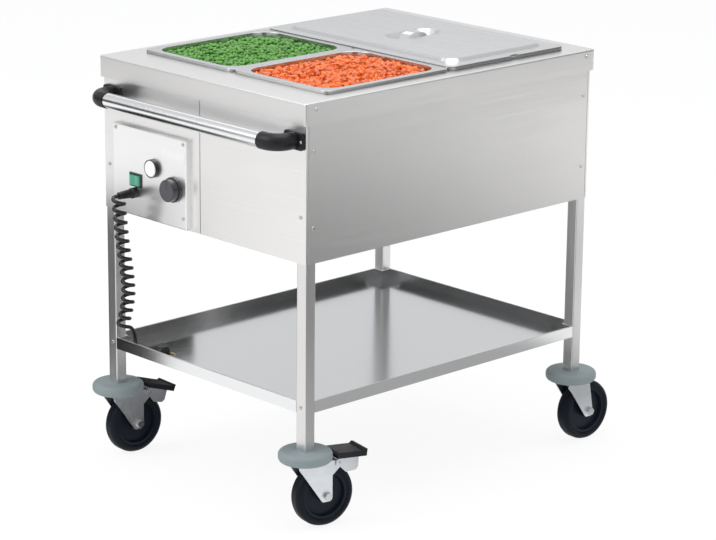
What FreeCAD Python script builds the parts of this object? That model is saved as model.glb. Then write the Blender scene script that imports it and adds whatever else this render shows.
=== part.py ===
import FreeCAD, Part
import math
import os
import re
import Sketcher
from FreeCAD import Placement, Rotation, Vector

# Heated serving trolley: a stainless casing with a well for gastronorm pans, on four tube legs
# with a lower tray and four swivel casters.
# The model is drawn about the middle of the casing's footprint, +Z up from the floor, +X towards
# the plain end, -X towards the push handle and the controls. Lengths are in millimetres.

SIZES = {
    # worktop
    "top_length": 785.0,
    "top_width": 600.0,
    "top_height": 828.0,
    "rim_depth": 42.0,
    "rim_overhang_x": 6.5,
    "rim_overhang_y": 6.0,
    "top_sheet": 1.5,
    "rim_radius": 3.0,
    # casing
    "casing_depth": 306.0,
    "panel_sheet": 1.2,
    "panel_fold": 14.0,
    "corner_wrap": 5.0,
    "seam_gap": 1.6,
    "end_seam_y": 5.0,
    "window_margin": 14.0,
    # screw heads, with their places from the nearest corner of what they hold
    "screw_head": 8.0,
    "screw_rise": 2.0,
    "screw_bevel": 1.2,
    "screw_low": 68.0,
    "screw_high": 213.0,
    "end_screw_rise": 89.0,
    "side_screw_inset": 18.0,
    "end_screw_inset": 14.5,
    "rim_screw_drop": 13.0,
    "box_screw_inset": 9.0,
    "box_screw_rise": 22.0,
    "bracket_screw": 6.0,
    "bracket_screw_offset": 22.0,
    # legs and lower tray
    "leg_size": 25.0,
    "leg_wall": 1.5,
    "leg_radius": 2.0,
    "tray_top": 254.0,
    "tray_depth": 24.0,
    "tray_sheet": 1.2,
    "tray_hem": 3.0,
    "tray_hem_height": 5.0,
    # well and pans
    "well_offset": 16.0,
    "pan_length": 325.0,
    "pan_width": 530.0,
    "pan_rim": 13.0,
    "pan_rise": 6.0,
    "pan_depth": 100.0,
    "pan_sheet": 1.0,
    "pan_corner": 42.0,
    "rim_corner": 14.0,
    "pan_taper": 10.0,
    "pan_clearance": 0.4,
    "well_ledge": 10.0,
    "basin_depth": 150.0,
    "basin_sheet": 1.2,
    "bar_width": 20.0,
    "bar_height": 12.0,
    "bar_sheet": 1.5,
    # food
    "food_gap": 16.0,
    "food_crown": 5.0,
    "food_shoulder": 20.0,
    "mound_rise": 4.0,
    "mound_radius": 150.0,
    # heating element
    "element_tube": 8.0,
    "element_margin": 40.0,
    "element_row_gap": 120.0,
    "element_lead": 20.0,
    "element_drop": 30.0,
    # lid
    "lid_sheet": 1.2,
    "lid_step_inset": 27.0,
    "lid_step_rise": 6.0,
    "lid_recess_length": 136.0,
    "lid_recess_width": 66.0,
    "lid_recess_depth": 16.0,
    "lid_recess_corner": 30.0,
    "lid_recess_foot": 14.0,
    "lid_corner": 24.0,
    "notch_width": 18.0,
    "notch_reach": 7.0,
    "notch_offset": 18.0,
    "strap_span": 94.0,
    "strap_width": 24.0,
    "strap_thickness": 3.0,
    "strap_rise": 21.0,
    "strap_foot": 14.0,
    "strap_bend": 12.0,
    "strap_fillet": 2.6,
    # push handle
    "grip_drop": 73.0,
    "grip_standoff": 47.0,
    "grip_diameter": 30.0,
    "grip_wall": 1.5,
    "grip_insert": 14.0,
    "sleeve_diameter": 33.0,
    "sleeve_wall": 5.0,
    "bracket_inset": 30.0,
    "bracket_reach": 40.0,
    "bracket_bend": 28.0,
    "bracket_hollow": 12.0,
    "flange_width": 52.0,
    "flange_height": 34.0,
    "flange_thickness": 7.0,
    # control box
    "box_inset": 38.0,
    "box_width": 222.0,
    "box_drop": 126.0,
    "box_height": 178.0,
    "box_depth": 10.0,
    "box_radius": 2.5,
    # knob and the thermostat behind it, measured from the box's inner lower corner
    "knob_across": 38.0,
    "knob_up": 75.0,
    "knob_diameter": 50.0,
    "knob_depth": 19.0,
    "knob_skirt": 4.0,
    "knob_step": 3.0,
    "knob_gap": 0.5,
    "knob_edge": 3.0,
    "pointer_width": 2.4,
    "shaft_diameter": 6.0,
    "shaft_length": 27.0,
    "shaft_clearance": 0.08,
    "neck_wall": 2.0,
    "thermostat_size": 38.0,
    "thermostat_depth": 26.0,
    "thermostat_gap": 3.0,
    # lamp
    "lamp_across": 99.0,
    "lamp_up": 106.0,
    "lamp_diameter": 36.0,
    "lamp_depth": 8.0,
    "lamp_ring": 1.5,
    "lamp_shoulder": 7.0,
    "lens_gap": 0.2,
    "lens_rise": 1.5,
    "lens_edge": 3.0,
    "fitting_neck": 12.0,
    # switch
    "switch_across": 152.0,
    "switch_up": 73.0,
    "switch_width": 30.0,
    "switch_height": 21.0,
    "switch_tilt": 6.0,
    "switch_border": 3.0,
    "switch_flange": 2.0,
    "switch_wall": 1.0,
    "switch_depth": 20.0,
    "switch_well": 15.0,
    "rocker_seat": 5.0,
    "rocker_gap": 0.6,
    "rocker_play": 2.0,
    "rocker_nose": 12.0,
    "rocker_waist": 10.0,
    "rocker_pin": 4.0,
    # cable gland and relief
    "gland_up": 48.0,
    "gland_diameter": 21.0,
    "gland_length": 14.0,
    "gland_shoulder": 3.0,
    "gland_edge": 2.0,
    "relief_length": 30.0,
    "relief_wall": 2.0,
    # curly cord and plug
    "cord_diameter": 7.5,
    "curl_diameter": 29.0,
    "curl_exit": 14.0,
    "plug_length": 52.0,
    "plug_diameter": 30.0,
    "plug_neck": 22.0,
    "plug_neck_start": 5.2,
    "plug_neck_end": 7.0,
    "pin_diameter": 4.8,
    "pin_length": 19.0,
    "pin_spacing": 19.0,
    # casters
    "wheel_diameter": 125.0,
    "wheel_width": 32.0,
    "tyre_thickness": 15.0,
    "tyre_bevel": 3.0,
    "shoulder_depth": 7.0,
    "shoulder_width": 9.0,
    "hub_boss": 8.0,
    "hub_boss_rise": 1.5,
    "hub_web": 10.0,
    "hub_rim": 5.0,
    "caster_trail": 37.0,
    "fork_gap": 37.0,
    "fork_plate": 2.5,
    "crown_top": 132.0,
    "crown_thickness": 4.0,
    "crown_radius": 26.0,
    "crown_back": 46.0,
    "arm_front": 24.0,
    "arm_shoulder": 8.0,
    "arm_foot": 11.0,
    "lobe_reach": 7.0,
    "lobe_drop": 6.0,
    "lobe_foot": 40.0,
    "arm_lean": 14.0,
    "bumper_bottom": 134.0,
    "bumper_height": 22.0,
    "bumper_diameter": 104.0,
    "stem_diameter": 12.0,
    "stem_head_diameter": 18.0,
    "stem_head_height": 5.6,
    "stem_gap": 0.4,
    "race_diameter": 32.0,
    "race_gap": 0.3,
    "insert_height": 42.0,
    "axle_diameter": 10.0,
    "axle_clearance": 0.08,
    "hexagon_radius": 8.0,
    "bolt_head": 6.0,
    "nut_height": 7.0,
    "bolt_end": 1.0,
    # brake pedals
    "pedal_pivot_x": 62.0,
    "pedal_pivot_z": 127.0,
    "pedal_pin": 5.0,
    "pedal_pin_end": 1.5,
    "pedal_length": 58.0,
    "pedal_width": 50.0,
    "blade_depth": 8.0,
    "blade_drop": 20.0,
    "blade_web": 10.0,
    "pad_start": -7.0,
    "pad_thickness": 11.0,
    "pad_overhang": 17.0,
    "pad_lip": 4.0,
    "pad_side": 1.5,
}

# Where each caster trails at rest, in degrees about Z, and which ones have a brake. The corner
# names say the end of the trolley, then the side: near is the -Y side, far the +Y side.
CASTERS = {
    "handle_near": {"x": -1, "y": -1, "heading": -12.0, "pedal_slope": -4.0},
    "handle_far": {"x": -1, "y": 1, "heading": -4.0, "pedal_slope": -18.0},
    "plain_near": {"x": 1, "y": -1, "heading": -4.0, "pedal_slope": None},
    "plain_far": {"x": 1, "y": 1, "heading": -8.0, "pedal_slope": None},
}


def worked_out(s):
    """Sizes that follow from the driving ones."""
    d = {}
    d["casing_x"] = s["top_length"] / 2 - s["rim_overhang_x"]
    d["casing_y"] = s["top_width"] / 2 - s["rim_overhang_y"]
    d["casing_bottom"] = s["top_height"] - s["casing_depth"]
    d["frame_x"] = d["casing_x"] - s["panel_sheet"]
    d["frame_y"] = d["casing_y"] - s["panel_sheet"]
    d["leg_x"] = d["frame_x"] - s["leg_size"] / 2
    d["leg_y"] = d["frame_y"] - s["leg_size"] / 2
    d["under_top"] = s["top_height"] - s["top_sheet"]
    d["leg_bottom"] = s["bumper_bottom"] + s["bumper_height"]
    d["tray_bottom"] = s["tray_top"] - s["tray_depth"]
    d["opening_length"] = 2 * s["pan_length"] - 2 * s["well_ledge"]
    d["opening_width"] = s["pan_width"] - 2 * s["well_ledge"]
    d["basin_bottom"] = d["under_top"] - s["basin_depth"]
    d["rim_top"] = s["top_height"] + s["pan_rise"]
    d["grip_x"] = -d["casing_x"] - s["grip_standoff"]
    d["grip_height"] = s["top_height"] - s["grip_drop"]
    d["bracket_y"] = d["casing_y"] - s["bracket_inset"]
    d["grip_span"] = 2 * (d["bracket_y"] - s["bracket_reach"])
    d["box_face"] = -d["casing_x"] - s["box_depth"]
    d["box_outer_y"] = d["casing_y"] - s["box_inset"]
    d["box_inner_y"] = d["box_outer_y"] - s["box_width"]
    d["box_top"] = s["top_height"] - s["box_drop"]
    d["box_bottom"] = d["box_top"] - s["box_height"]
    for control in ("knob", "lamp", "switch"):
        d[control + "_y"] = d["box_inner_y"] + s[control + "_across"]
        d[control + "_z"] = d["box_bottom"] + s[control + "_up"]
    d["gland_z"] = d["box_bottom"] + s["gland_up"]
    d["axle_z"] = s["wheel_diameter"] / 2
    return d


doc = FreeCAD.newDocument("ServingTrolley")
sheet = doc.addObject("Spreadsheet::Sheet", "Sizes")
SIZES.update(worked_out(SIZES))
for row, (alias, number) in enumerate(SIZES.items(), start=1):
    sheet.set("A%d" % row, alias)
    sheet.set("B%d" % row, "%.6f" % number)
    sheet.setAlias("B%d" % row, alias)
doc.recompute()

finished = []


def size(alias):
    """One size, read from the sheet."""
    return float(sheet.get(alias))


def cells(formula):
    """The formula with each size's name turned into its cell in the sheet."""
    return re.sub(r"[A-Za-z_]\w*", lambda m: "Sizes." + m.group(0) if m.group(0) in SIZES else m.group(0), formula)


def bind(obj, **formulas):
    """Bind properties of an object to formulas of the sheet; '_' in a name stands for a dot."""
    for name, formula in formulas.items():
        obj.setExpression(name.replace("_", "."), cells(str(formula)))
    return obj


def keep(obj, label):
    """Give a finished sub-part its name and put it on the list of pieces to write."""
    obj.Label = label
    finished.append(obj)
    return obj


# ---- primitives and booleans -------------------------------------------------------------------

def box(lx, ly, lz, x, y, z):
    """A box whose lowest corner is at x, y, z. All six are formulas."""
    obj = doc.addObject("Part::Box", "Block")
    bind(obj, Length=lx, Width=ly, Height=lz)
    bind(obj, Placement_Base_x=x, Placement_Base_y=y, Placement_Base_z=z)
    return obj


def cylinder(radius, height, x, y, z, axis="Z"):
    """A cylinder from x, y, z along +Z, +X or +Y."""
    turns = {"Z": Rotation(), "X": Rotation(Vector(0, 1, 0), 90), "Y": Rotation(Vector(1, 0, 0), -90)}
    obj = doc.addObject("Part::Cylinder", "Rod")
    obj.Placement = Placement(Vector(), turns[axis])
    bind(obj, Radius=radius, Height=height)
    bind(obj, Placement_Base_x=x, Placement_Base_y=y, Placement_Base_z=z)
    return obj


def fuse(pieces):
    obj = doc.addObject("Part::MultiFuse", "Joined")
    obj.Shapes = pieces
    obj.Refine = True
    return obj


def cut(base, tools):
    """The base with every tool cut away."""
    tool = tools[0] if len(tools) == 1 else fuse(tools)
    obj = doc.addObject("Part::Cut", "Trimmed")
    obj.Base = base
    obj.Tool = tool
    obj.Refine = True
    return obj


def group(pieces):
    """Several separate solids kept as one object."""
    obj = doc.addObject("Part::Compound", "Set")
    obj.Links = pieces
    return obj


def rounded(base, radius, wanted):
    """Fillet the edges of an object that the test picks."""
    doc.recompute()
    edges = [n for n, edge in enumerate(base.Shape.Edges, start=1) if wanted(edge)]
    obj = doc.addObject("Part::Fillet", "Rounded")
    obj.Base = base
    obj.Edges = [(n, radius, radius) for n in edges]
    return obj


def feature(label, shape):
    """A sub-part whose shape is worked out in code from the sheet's sizes."""
    obj = doc.addObject("Part::Feature", label)
    obj.Shape = shape
    obj.Placement = Placement()
    return keep(obj, label)


# ---- sketched bodies ---------------------------------------------------------------------------

def new_body(label):
    obj = doc.addObject("PartDesign::Body", "Body")
    return keep(obj, label)


def new_sketch(body, role, offset="0"):
    """A sketch on one of the body's own origin planes, moved along the plane's normal."""
    plane = [o for o in body.Origin.OriginFeatures if o.Role == role][0]
    sketch = body.newObject("Sketcher::SketchObject", "Outline")
    sketch.AttachmentSupport = [(plane, "")]
    sketch.MapMode = "FlatFace"
    bind(sketch, AttachmentOffset_Base_z=offset)
    return sketch


def pin_point(sketch, geometry, end, x, y):
    """Hold one point of a sketch at two formulas from the sketch's origin."""
    for kind, formula in (("DistanceX", x), ("DistanceY", y)):
        index = sketch.addConstraint(Sketcher.Constraint(kind, -1, 1, geometry, end, 0.0))
        name = "at%d" % index
        sketch.renameConstraint(index, name)
        sketch.setExpression("Constraints." + name, cells(str(formula)))


def outline(sketch, points):
    """A closed outline of straight edges through points given as pairs of formulas."""
    first = sketch.GeometryCount
    count = len(points)
    for n in range(count):
        angle = 2 * math.pi * n / count
        after = 2 * math.pi * (n + 1) / count
        start = Vector(math.cos(angle), math.sin(angle), 0)
        sketch.addGeometry(Part.LineSegment(start, Vector(math.cos(after), math.sin(after), 0)))
    for n in range(count):
        sketch.addConstraint(Sketcher.Constraint("Coincident", first + n, 2, first + (n + 1) % count, 1))
    for n, (x, y) in enumerate(points):
        pin_point(sketch, first + n, 1, x, y)


def rectangle(sketch, x0, y0, x1, y1):
    outline(sketch, [(x0, y0), (x1, y0), (x1, y1), (x0, y1)])


def circle(sketch, x, y, radius):
    index = sketch.addGeometry(Part.Circle(Vector(0, 0, 0), Vector(0, 0, 1), 1.0))
    pin_point(sketch, index, 3, x, y)
    held = sketch.addConstraint(Sketcher.Constraint("Radius", index, 1.0))
    name = "radius%d" % held
    sketch.renameConstraint(held, name)
    sketch.setExpression("Constraints." + name, cells(str(radius)))


def pad(body, sketch, length, middle=False, back=False):
    obj = body.newObject("PartDesign::Pad", "Pad")
    obj.Profile = sketch
    bind(obj, Length=length)
    obj.Midplane = middle
    obj.Reversed = back
    return obj


def pocket(body, sketch, length, middle=False, back=False):
    """A pocket; the volume is compared, because one that points away cuts nothing."""
    doc.recompute()
    before = body.Shape.Volume
    obj = body.newObject("PartDesign::Pocket", "Pocket")
    obj.Profile = sketch
    bind(obj, Length=length)
    obj.Midplane = middle
    obj.Reversed = back
    doc.recompute()
    if body.Shape.Volume > before - 1e-3:
        raise RuntimeError("a pocket of %s cuts nothing" % body.Label)
    return obj


def revolve(body, sketch, role):
    """Turn a profile once about one of the body's own axes."""
    axis = [o for o in body.Origin.OriginFeatures if o.Role == role][0]
    obj = body.newObject("PartDesign::Revolution", "Turned")
    obj.Profile = sketch
    obj.ReferenceAxis = (axis, [""])
    obj.Angle = 360.0
    return obj


def fillet(body, radius, wanted):
    """Fillet those edges of the body so far that the test picks."""
    doc.recompute()
    tip = body.Tip
    names = ["Edge%d" % n for n, edge in enumerate(tip.Shape.Edges, start=1) if wanted(edge)]
    obj = body.newObject("PartDesign::Fillet", "Fillet")
    obj.Base = (tip, names)
    bind(obj, Radius=radius)
    return obj


# Tests on an edge's place, for fillets.

def near(a, b):
    return abs(a - b) < 0.01


def flat_at(edge, axis, value):
    """True if the edge lies in the plane where that coordinate has the value."""
    low, high = edge.BoundBox.getPoint(0), edge.BoundBox.getPoint(6)
    return near(low[axis], value) and near(high[axis], value)


def along(edge, axis):
    """True for a straight edge parallel to that axis: 0, 1 or 2."""
    span = edge.BoundBox
    lengths = [span.XLength, span.YLength, span.ZLength]
    long_one = lengths.pop(axis)
    return long_one > 0.01 and max(lengths) < 0.01


# ---- solids with rounded corners, and tubes along a route -----------------------------------------

def rounded_outline(length, width, radius, x, y, z):
    """A rectangle with rounded corners, centred on x, y, as a wire at height z."""
    a, b = length / 2, width / 2
    k = radius * (1 - math.sqrt(0.5))
    edges = []
    corners = [(1, 1), (-1, 1), (-1, -1), (1, -1)]
    ends = []
    for sx, sy in corners:
        on_side = Vector(x + sx * a, y + sy * (b - radius), z)
        on_end = Vector(x + sx * (a - radius), y + sy * b, z)
        middle = Vector(x + sx * (a - k), y + sy * (b - k), z)
        first, last = (on_side, on_end) if sx * sy > 0 else (on_end, on_side)
        ends.append((first, middle, last))
    for n, (first, middle, last) in enumerate(ends):
        edges.append(Part.Arc(first, middle, last).toShape())
        edges.append(Part.LineSegment(last, ends[(n + 1) % 4][0]).toShape())
    return Part.Wire(edges)


def tapered(sections):
    """A solid through rounded rectangles, each (length, width, radius, x, y, z)."""
    return Part.makeLoft([rounded_outline(*section) for section in sections], True, True)


def route_wire(points):
    """Straight runs joined by tangent arcs, each as large as its two runs allow."""
    edges = []
    radii = []
    start = points[0]
    for before, corner, after in zip(points, points[1:], points[2:]):
        into = corner - before
        out = after - corner
        turn = into.getAngle(out)
        radius = 0.45 * min(into.Length, out.Length) / math.tan(turn / 2)
        reach = radius * math.tan(turn / 2)
        into.normalize()
        out.normalize()
        first = corner - into * reach
        last = corner + out * reach
        inward = (out - into).normalize()
        middle = corner + inward * (radius / math.cos(turn / 2) - radius)
        edges.append(Part.LineSegment(start, first).toShape())
        edges.append(Part.Arc(first, middle, last).toShape())
        radii.append(radius)
        start = last
    edges.append(Part.LineSegment(start, points[-1]).toShape())
    return edges, radii


def swept_tube(edges, diameter):
    """A round tube along edges that follow each other."""
    path = Part.Wire(edges)
    start = path.Edges[0]
    where = start.valueAt(start.FirstParameter)
    heading = start.tangentAt(start.FirstParameter)
    ring = Part.Wire(Part.Circle(where, heading, diameter / 2).toShape())
    solid = path.makePipeShell([ring], True, False)
    if solid.Volume < 0:
        solid.reverse()
    print("tube: volume %.0f, section times length %.0f" % (
        solid.Volume, math.pi * diameter ** 2 / 4 * path.Length))
    return solid


# ---- worktop --------------------------------------------------------------------------------------

def make_worktop():
    """Folded sheet with a turned-down rim and one opening for the pans."""
    body = new_body("worktop")
    blank = new_sketch(body, "XY_Plane", "top_height - rim_depth")
    rectangle(blank, "-top_length / 2", "-top_width / 2", "top_length / 2", "top_width / 2")
    pad(body, blank, "rim_depth")
    upright = lambda e: along(e, 2)
    fillet(body, "rim_radius * 2", upright)
    fillet(body, "rim_radius", lambda e: flat_at(e, 2, size("top_height")))
    inside = new_sketch(body, "XY_Plane", "top_height - rim_depth")
    rectangle(inside, "-top_length / 2 + top_sheet", "-top_width / 2 + top_sheet",
              "top_length / 2 - top_sheet", "top_width / 2 - top_sheet")
    pocket(body, inside, "rim_depth - top_sheet", back=True)
    hole = new_sketch(body, "XY_Plane", "top_height")
    rectangle(hole, "well_offset - opening_length / 2", "-opening_width / 2",
              "well_offset + opening_length / 2", "opening_width / 2")
    pocket(body, hole, "top_sheet + 1")


# ---- casing ---------------------------------------------------------------------------------------

PANEL_HEIGHT = "under_top - casing_bottom"


def make_side_panel(label, side):
    """A long side: flat sheet with its lower edge folded in between the legs."""
    face = "casing_y - panel_sheet" if side > 0 else "-casing_y"
    fold = "casing_y - panel_sheet - panel_fold" if side > 0 else "-casing_y + panel_sheet"
    length = "2 * (casing_x - corner_wrap - seam_gap)"
    skin = box(length, "panel_sheet", PANEL_HEIGHT, "-casing_x + corner_wrap + seam_gap", face, "casing_bottom")
    lower = box("2 * (leg_x - leg_size / 2)", "panel_fold", "panel_sheet",
                "-leg_x + leg_size / 2", fold, "casing_bottom")
    keep(fuse([skin, lower]), label)


def make_plain_end_panel():
    """The plain end: full width, wrapped round both corners."""
    skin = box("panel_sheet", "2 * casing_y", PANEL_HEIGHT, "casing_x - panel_sheet", "-casing_y", "casing_bottom")
    wraps = [box("corner_wrap", "panel_sheet", PANEL_HEIGHT, "casing_x - corner_wrap", y, "casing_bottom")
             for y in ("-casing_y", "casing_y - panel_sheet")]
    lower = box("panel_fold", "2 * (leg_y - leg_size / 2)", "panel_sheet",
                "casing_x - panel_sheet - panel_fold", "-leg_y + leg_size / 2", "casing_bottom")
    panel = fuse([skin, lower] + wraps)
    outer = lambda e: flat_at(e, 0, size("casing_x")) and near(abs(e.BoundBox.YMin), size("casing_y"))
    corner = lambda e: along(e, 2) and outer(e)
    keep(rounded(panel, size("panel_sheet") * 0.9, corner), "plain_end_panel")


def handle_end_panel(y_low, y_high, wrap_y, fold_y):
    """Half of the handle end, from the middle seam to one corner, with both edges folded in."""
    skin = box("panel_sheet", "(%s) - (%s)" % (y_high, y_low), PANEL_HEIGHT, "-casing_x", y_low, "casing_bottom")
    wrap = box("corner_wrap", "panel_sheet", PANEL_HEIGHT, "-casing_x", wrap_y, "casing_bottom")
    edge = box("panel_fold", "panel_sheet", PANEL_HEIGHT, "-casing_x", fold_y, "casing_bottom")
    return [skin, wrap, edge]


def corner_edge(y):
    return lambda e: along(e, 2) and flat_at(e, 0, -size("casing_x")) and near(e.BoundBox.YMin, y)


def make_handle_end_panels():
    """The handle end in two panels that meet in an upright seam; one carries the control box."""
    control = fuse(handle_end_panel("end_seam_y + seam_gap / 2", "casing_y", "casing_y - panel_sheet",
                                    "end_seam_y + seam_gap / 2"))
    window = box("3 * panel_sheet", "box_width - 2 * window_margin", "box_height - 2 * window_margin",
                 "-casing_x - panel_sheet", "box_inner_y + window_margin", "box_bottom + window_margin")
    control = cut(control, [window])
    keep(rounded(control, size("panel_sheet") * 0.9, corner_edge(size("casing_y"))), "control_end_panel")
    service = fuse(handle_end_panel("-casing_y", "end_seam_y - seam_gap / 2", "-casing_y",
                                    "end_seam_y - seam_gap / 2 - panel_sheet"))
    keep(rounded(service, size("panel_sheet") * 0.9, corner_edge(-size("casing_y"))), "service_end_panel")


def make_bottom_panel():
    """Closes the casing underneath, notched round the legs and resting on the panels' folds."""
    blank = box("2 * frame_x", "2 * frame_y", "panel_sheet", "-frame_x", "-frame_y", "casing_bottom + panel_sheet")
    notches = []
    for sx in (-1, 1):
        for sy in (-1, 1):
            x = "leg_x - leg_size / 2" if sx > 0 else "-leg_x - leg_size / 2"
            y = "leg_y - leg_size / 2" if sy > 0 else "-leg_y - leg_size / 2"
            notches.append(box("leg_size", "leg_size", "3 * panel_sheet", x, y, "casing_bottom"))
    seam = box("panel_fold", "2 * panel_sheet + seam_gap", "3 * panel_sheet", "-frame_x",
               "end_seam_y - seam_gap / 2 - panel_sheet", "casing_bottom")
    keep(cut(blank, notches + [seam]), "bottom_panel")


def dome(x, y, z, axis, head="screw_head"):
    """A screw's domed head standing on a face; the axis points out of the face."""
    turns = {"-X": Rotation(Vector(0, 1, 0), -90), "+X": Rotation(Vector(0, 1, 0), 90),
             "-Y": Rotation(Vector(1, 0, 0), 90), "+Y": Rotation(Vector(1, 0, 0), -90)}
    obj = doc.addObject("Part::Cone", "Screw")
    obj.Placement = Placement(Vector(), turns[axis])
    bind(obj, Radius1="%s / 2" % head, Radius2="%s / 2 - screw_bevel" % head, Height="screw_rise")
    bind(obj, Placement_Base_x=x, Placement_Base_y=y, Placement_Base_z=z)
    return obj


def make_casing_screws():
    """All the screw heads of the fixed casing, legs and control box."""
    heads = []
    rows = ("casing_bottom + screw_low", "casing_bottom + screw_high")
    for x in ("-casing_x + side_screw_inset", "casing_x - side_screw_inset"):
        for z in rows:
            heads.append(dome(x, "-casing_y", z, "-Y"))
            heads.append(dome(x, "casing_y", z, "+Y"))
        heads.append(dome(x, "-top_width / 2", "top_height - rim_screw_drop", "-Y"))
        heads.append(dome(x, "top_width / 2", "top_height - rim_screw_drop", "+Y"))
    for y in ("-casing_y + end_screw_inset", "casing_y - end_screw_inset"):
        heads.append(dome("-casing_x", y, "casing_bottom + end_screw_rise", "-X"))
        for z in rows:
            heads.append(dome("casing_x", y, z, "+X"))
    for y in ("box_inner_y + box_screw_inset", "box_outer_y - box_screw_inset"):
        for z in ("box_top - box_screw_inset", "box_bottom + box_screw_rise"):
            heads.append(dome("box_face", y, z, "-X"))
    for side in (-1, 1):
        heads.append(dome("-casing_x - flange_thickness", "%s * (bracket_y + bracket_screw_offset)" % side,
                          "grip_height", "-X", "bracket_screw"))
    for y in ("-leg_y", "leg_y"):
        heads.append(dome("-frame_x", y, "tray_bottom + tray_depth / 2", "-X"))
        heads.append(dome("frame_x", y, "tray_bottom + tray_depth / 2", "+X"))
    keep(group(heads), "casing_screws")


# ---- legs and lower tray ----------------------------------------------------------------------------

def make_leg(corner, sx, sy):
    """Square tube from the caster up to the underside of the worktop."""
    body = new_body("leg_" + corner)
    section = new_sketch(body, "XY_Plane", "leg_bottom")
    x = "leg_x" if sx > 0 else "-leg_x"
    y = "leg_y" if sy > 0 else "-leg_y"
    square = ["%s - leg_size / 2" % x, "%s - leg_size / 2" % y, "%s + leg_size / 2" % x, "%s + leg_size / 2" % y]
    rectangle(section, *square)
    pad(body, section, "under_top - leg_bottom")
    fillet(body, "leg_radius", lambda e: along(e, 2))
    bore = new_sketch(body, "XY_Plane", "leg_bottom")
    inner = ["%s + leg_wall" % square[0], "%s + leg_wall" % square[1],
             "%s - leg_wall" % square[2], "%s - leg_wall" % square[3]]
    rectangle(bore, *inner)
    pocket(body, bore, "under_top - leg_bottom", back=True)


def notched_outline(sketch, inset):
    """The tray's plan: a rectangle with a square notch for the leg at each corner."""
    a = "frame_x - %s" % inset
    b = "frame_y - %s" % inset
    c = "frame_x - leg_size - %s" % inset
    d = "frame_y - leg_size - %s" % inset
    points = []
    for sx, sy in ((1, 1), (-1, 1), (-1, -1), (1, -1)):
        x_out, y_out = ("%s(%s)" % ("" if s > 0 else "-", t) for s, t in ((sx, a), (sy, b)))
        x_in, y_in = ("%s(%s)" % ("" if s > 0 else "-", t) for s, t in ((sx, c), (sy, d)))
        step = [(x_out, y_in), (x_in, y_in), (x_in, y_out)]
        points += step if sx * sy > 0 else step[::-1]
    outline(sketch, points)


def make_lower_tray():
    """Shallow tray with an upstand that runs round inside the legs, and a folded hem on top."""
    body = new_body("lower_tray")
    blank = new_sketch(body, "XY_Plane", "tray_bottom")
    notched_outline(blank, "0")
    pad(body, blank, "tray_depth")
    mouth = new_sketch(body, "XY_Plane", "tray_top")
    notched_outline(mouth, "tray_hem")
    pocket(body, mouth, "tray_depth - tray_sheet")
    fillet(body, "tray_hem / 2 - 0.1", lambda e: flat_at(e, 2, size("tray_top")))
    inside = new_sketch(body, "XY_Plane", "tray_top - tray_hem_height")
    notched_outline(inside, "tray_sheet")
    pocket(body, inside, "tray_depth - tray_hem_height - tray_sheet")


# ---- well, pans and food ------------------------------------------------------------------------------

def make_basin():
    """Open tank hung under the worktop round the opening."""
    body = new_body("basin")
    blank = new_sketch(body, "XY_Plane", "basin_bottom")
    rectangle(blank, "well_offset - opening_length / 2 - basin_sheet", "-opening_width / 2 - basin_sheet",
              "well_offset + opening_length / 2 + basin_sheet", "opening_width / 2 + basin_sheet")
    pad(body, blank, "basin_depth")
    inside = new_sketch(body, "XY_Plane", "basin_bottom + basin_sheet")
    rectangle(inside, "well_offset - opening_length / 2", "-opening_width / 2",
              "well_offset + opening_length / 2", "opening_width / 2")
    pocket(body, inside, "basin_depth", back=True)


def make_bars():
    """Channel bars that carry the pans' inner rims: one across the well, one between half pans."""
    cross = box("bar_width", "opening_width", "bar_height", "well_offset - bar_width / 2",
                "-opening_width / 2", "top_height - bar_height")
    groove = box("bar_width - 2 * bar_sheet", "opening_width", "bar_height - bar_sheet",
                 "well_offset - bar_width / 2 + bar_sheet",
                 "-opening_width / 2", "top_height - bar_height")
    cross = cut(cross, [groove])
    reach = "opening_length / 2 - bar_width / 2"
    half = box(reach, "bar_width", "bar_height", "well_offset - opening_length / 2",
               "-bar_width / 2", "top_height - bar_height")
    slot = box(reach, "bar_width - 2 * bar_sheet", "bar_height - bar_sheet", "well_offset - opening_length / 2",
               "-bar_width / 2 + bar_sheet", "top_height - bar_height")
    keep(group([cross, cut(half, [slot])]), "pan_bars")


def pan_sections(length, width, x, y, inset, z_low, z_high):
    """The pan's tapering inside or outside between two heights, drawn in by the inset."""
    top = size("rim_top")
    corner = size("pan_corner")
    sections = []
    for z in (z_low, z_high):
        shrink = size("pan_rim") + inset + size("pan_taper") * (top - z) / size("pan_depth")
        sections.append((length - 2 * shrink, width - 2 * shrink, corner - inset, x, y, z))
    return sections


def make_pan(label, length, width, x, y):
    """Gastronorm pan: flat rim with a turned-down lip, tapering sides, rounded corners."""
    top, wall, clear = size("rim_top"), size("pan_sheet"), size("pan_clearance")
    bottom = top - size("pan_depth")
    lip_low = size("top_height") + clear

    def slab(inset, z_low, z_high):
        """The rim's outline drawn in by the inset, between two heights."""
        reach = 2 * (clear + inset)
        outer = (length - reach, width - reach, size("rim_corner") - inset, x, y)
        return tapered([outer + (z_low,), outer + (z_high,)])

    rim = slab(0.0, top - wall, top)
    lip = slab(0.0, lip_low, top).cut(slab(wall, lip_low - wall, top))
    tub = tapered(pan_sections(length, width, x, y, 0.0, bottom, top))
    inside = tapered(pan_sections(length, width, x, y, wall, bottom + wall, top + wall))
    solid = rim.fuse([lip, tub]).cut(inside).removeSplitter()
    edges = [e for e in solid.Edges if flat_at(e, 2, top)]
    solid = solid.makeFillet(wall * 0.9, edges)
    feature(label, solid.Solids[0])


# Where the food's mounds lie, as shares of its length and width from its middle.
MOUNDS = [(-0.2, 0.14), (0.17, 0.17), (0.02, -0.17)]


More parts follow.
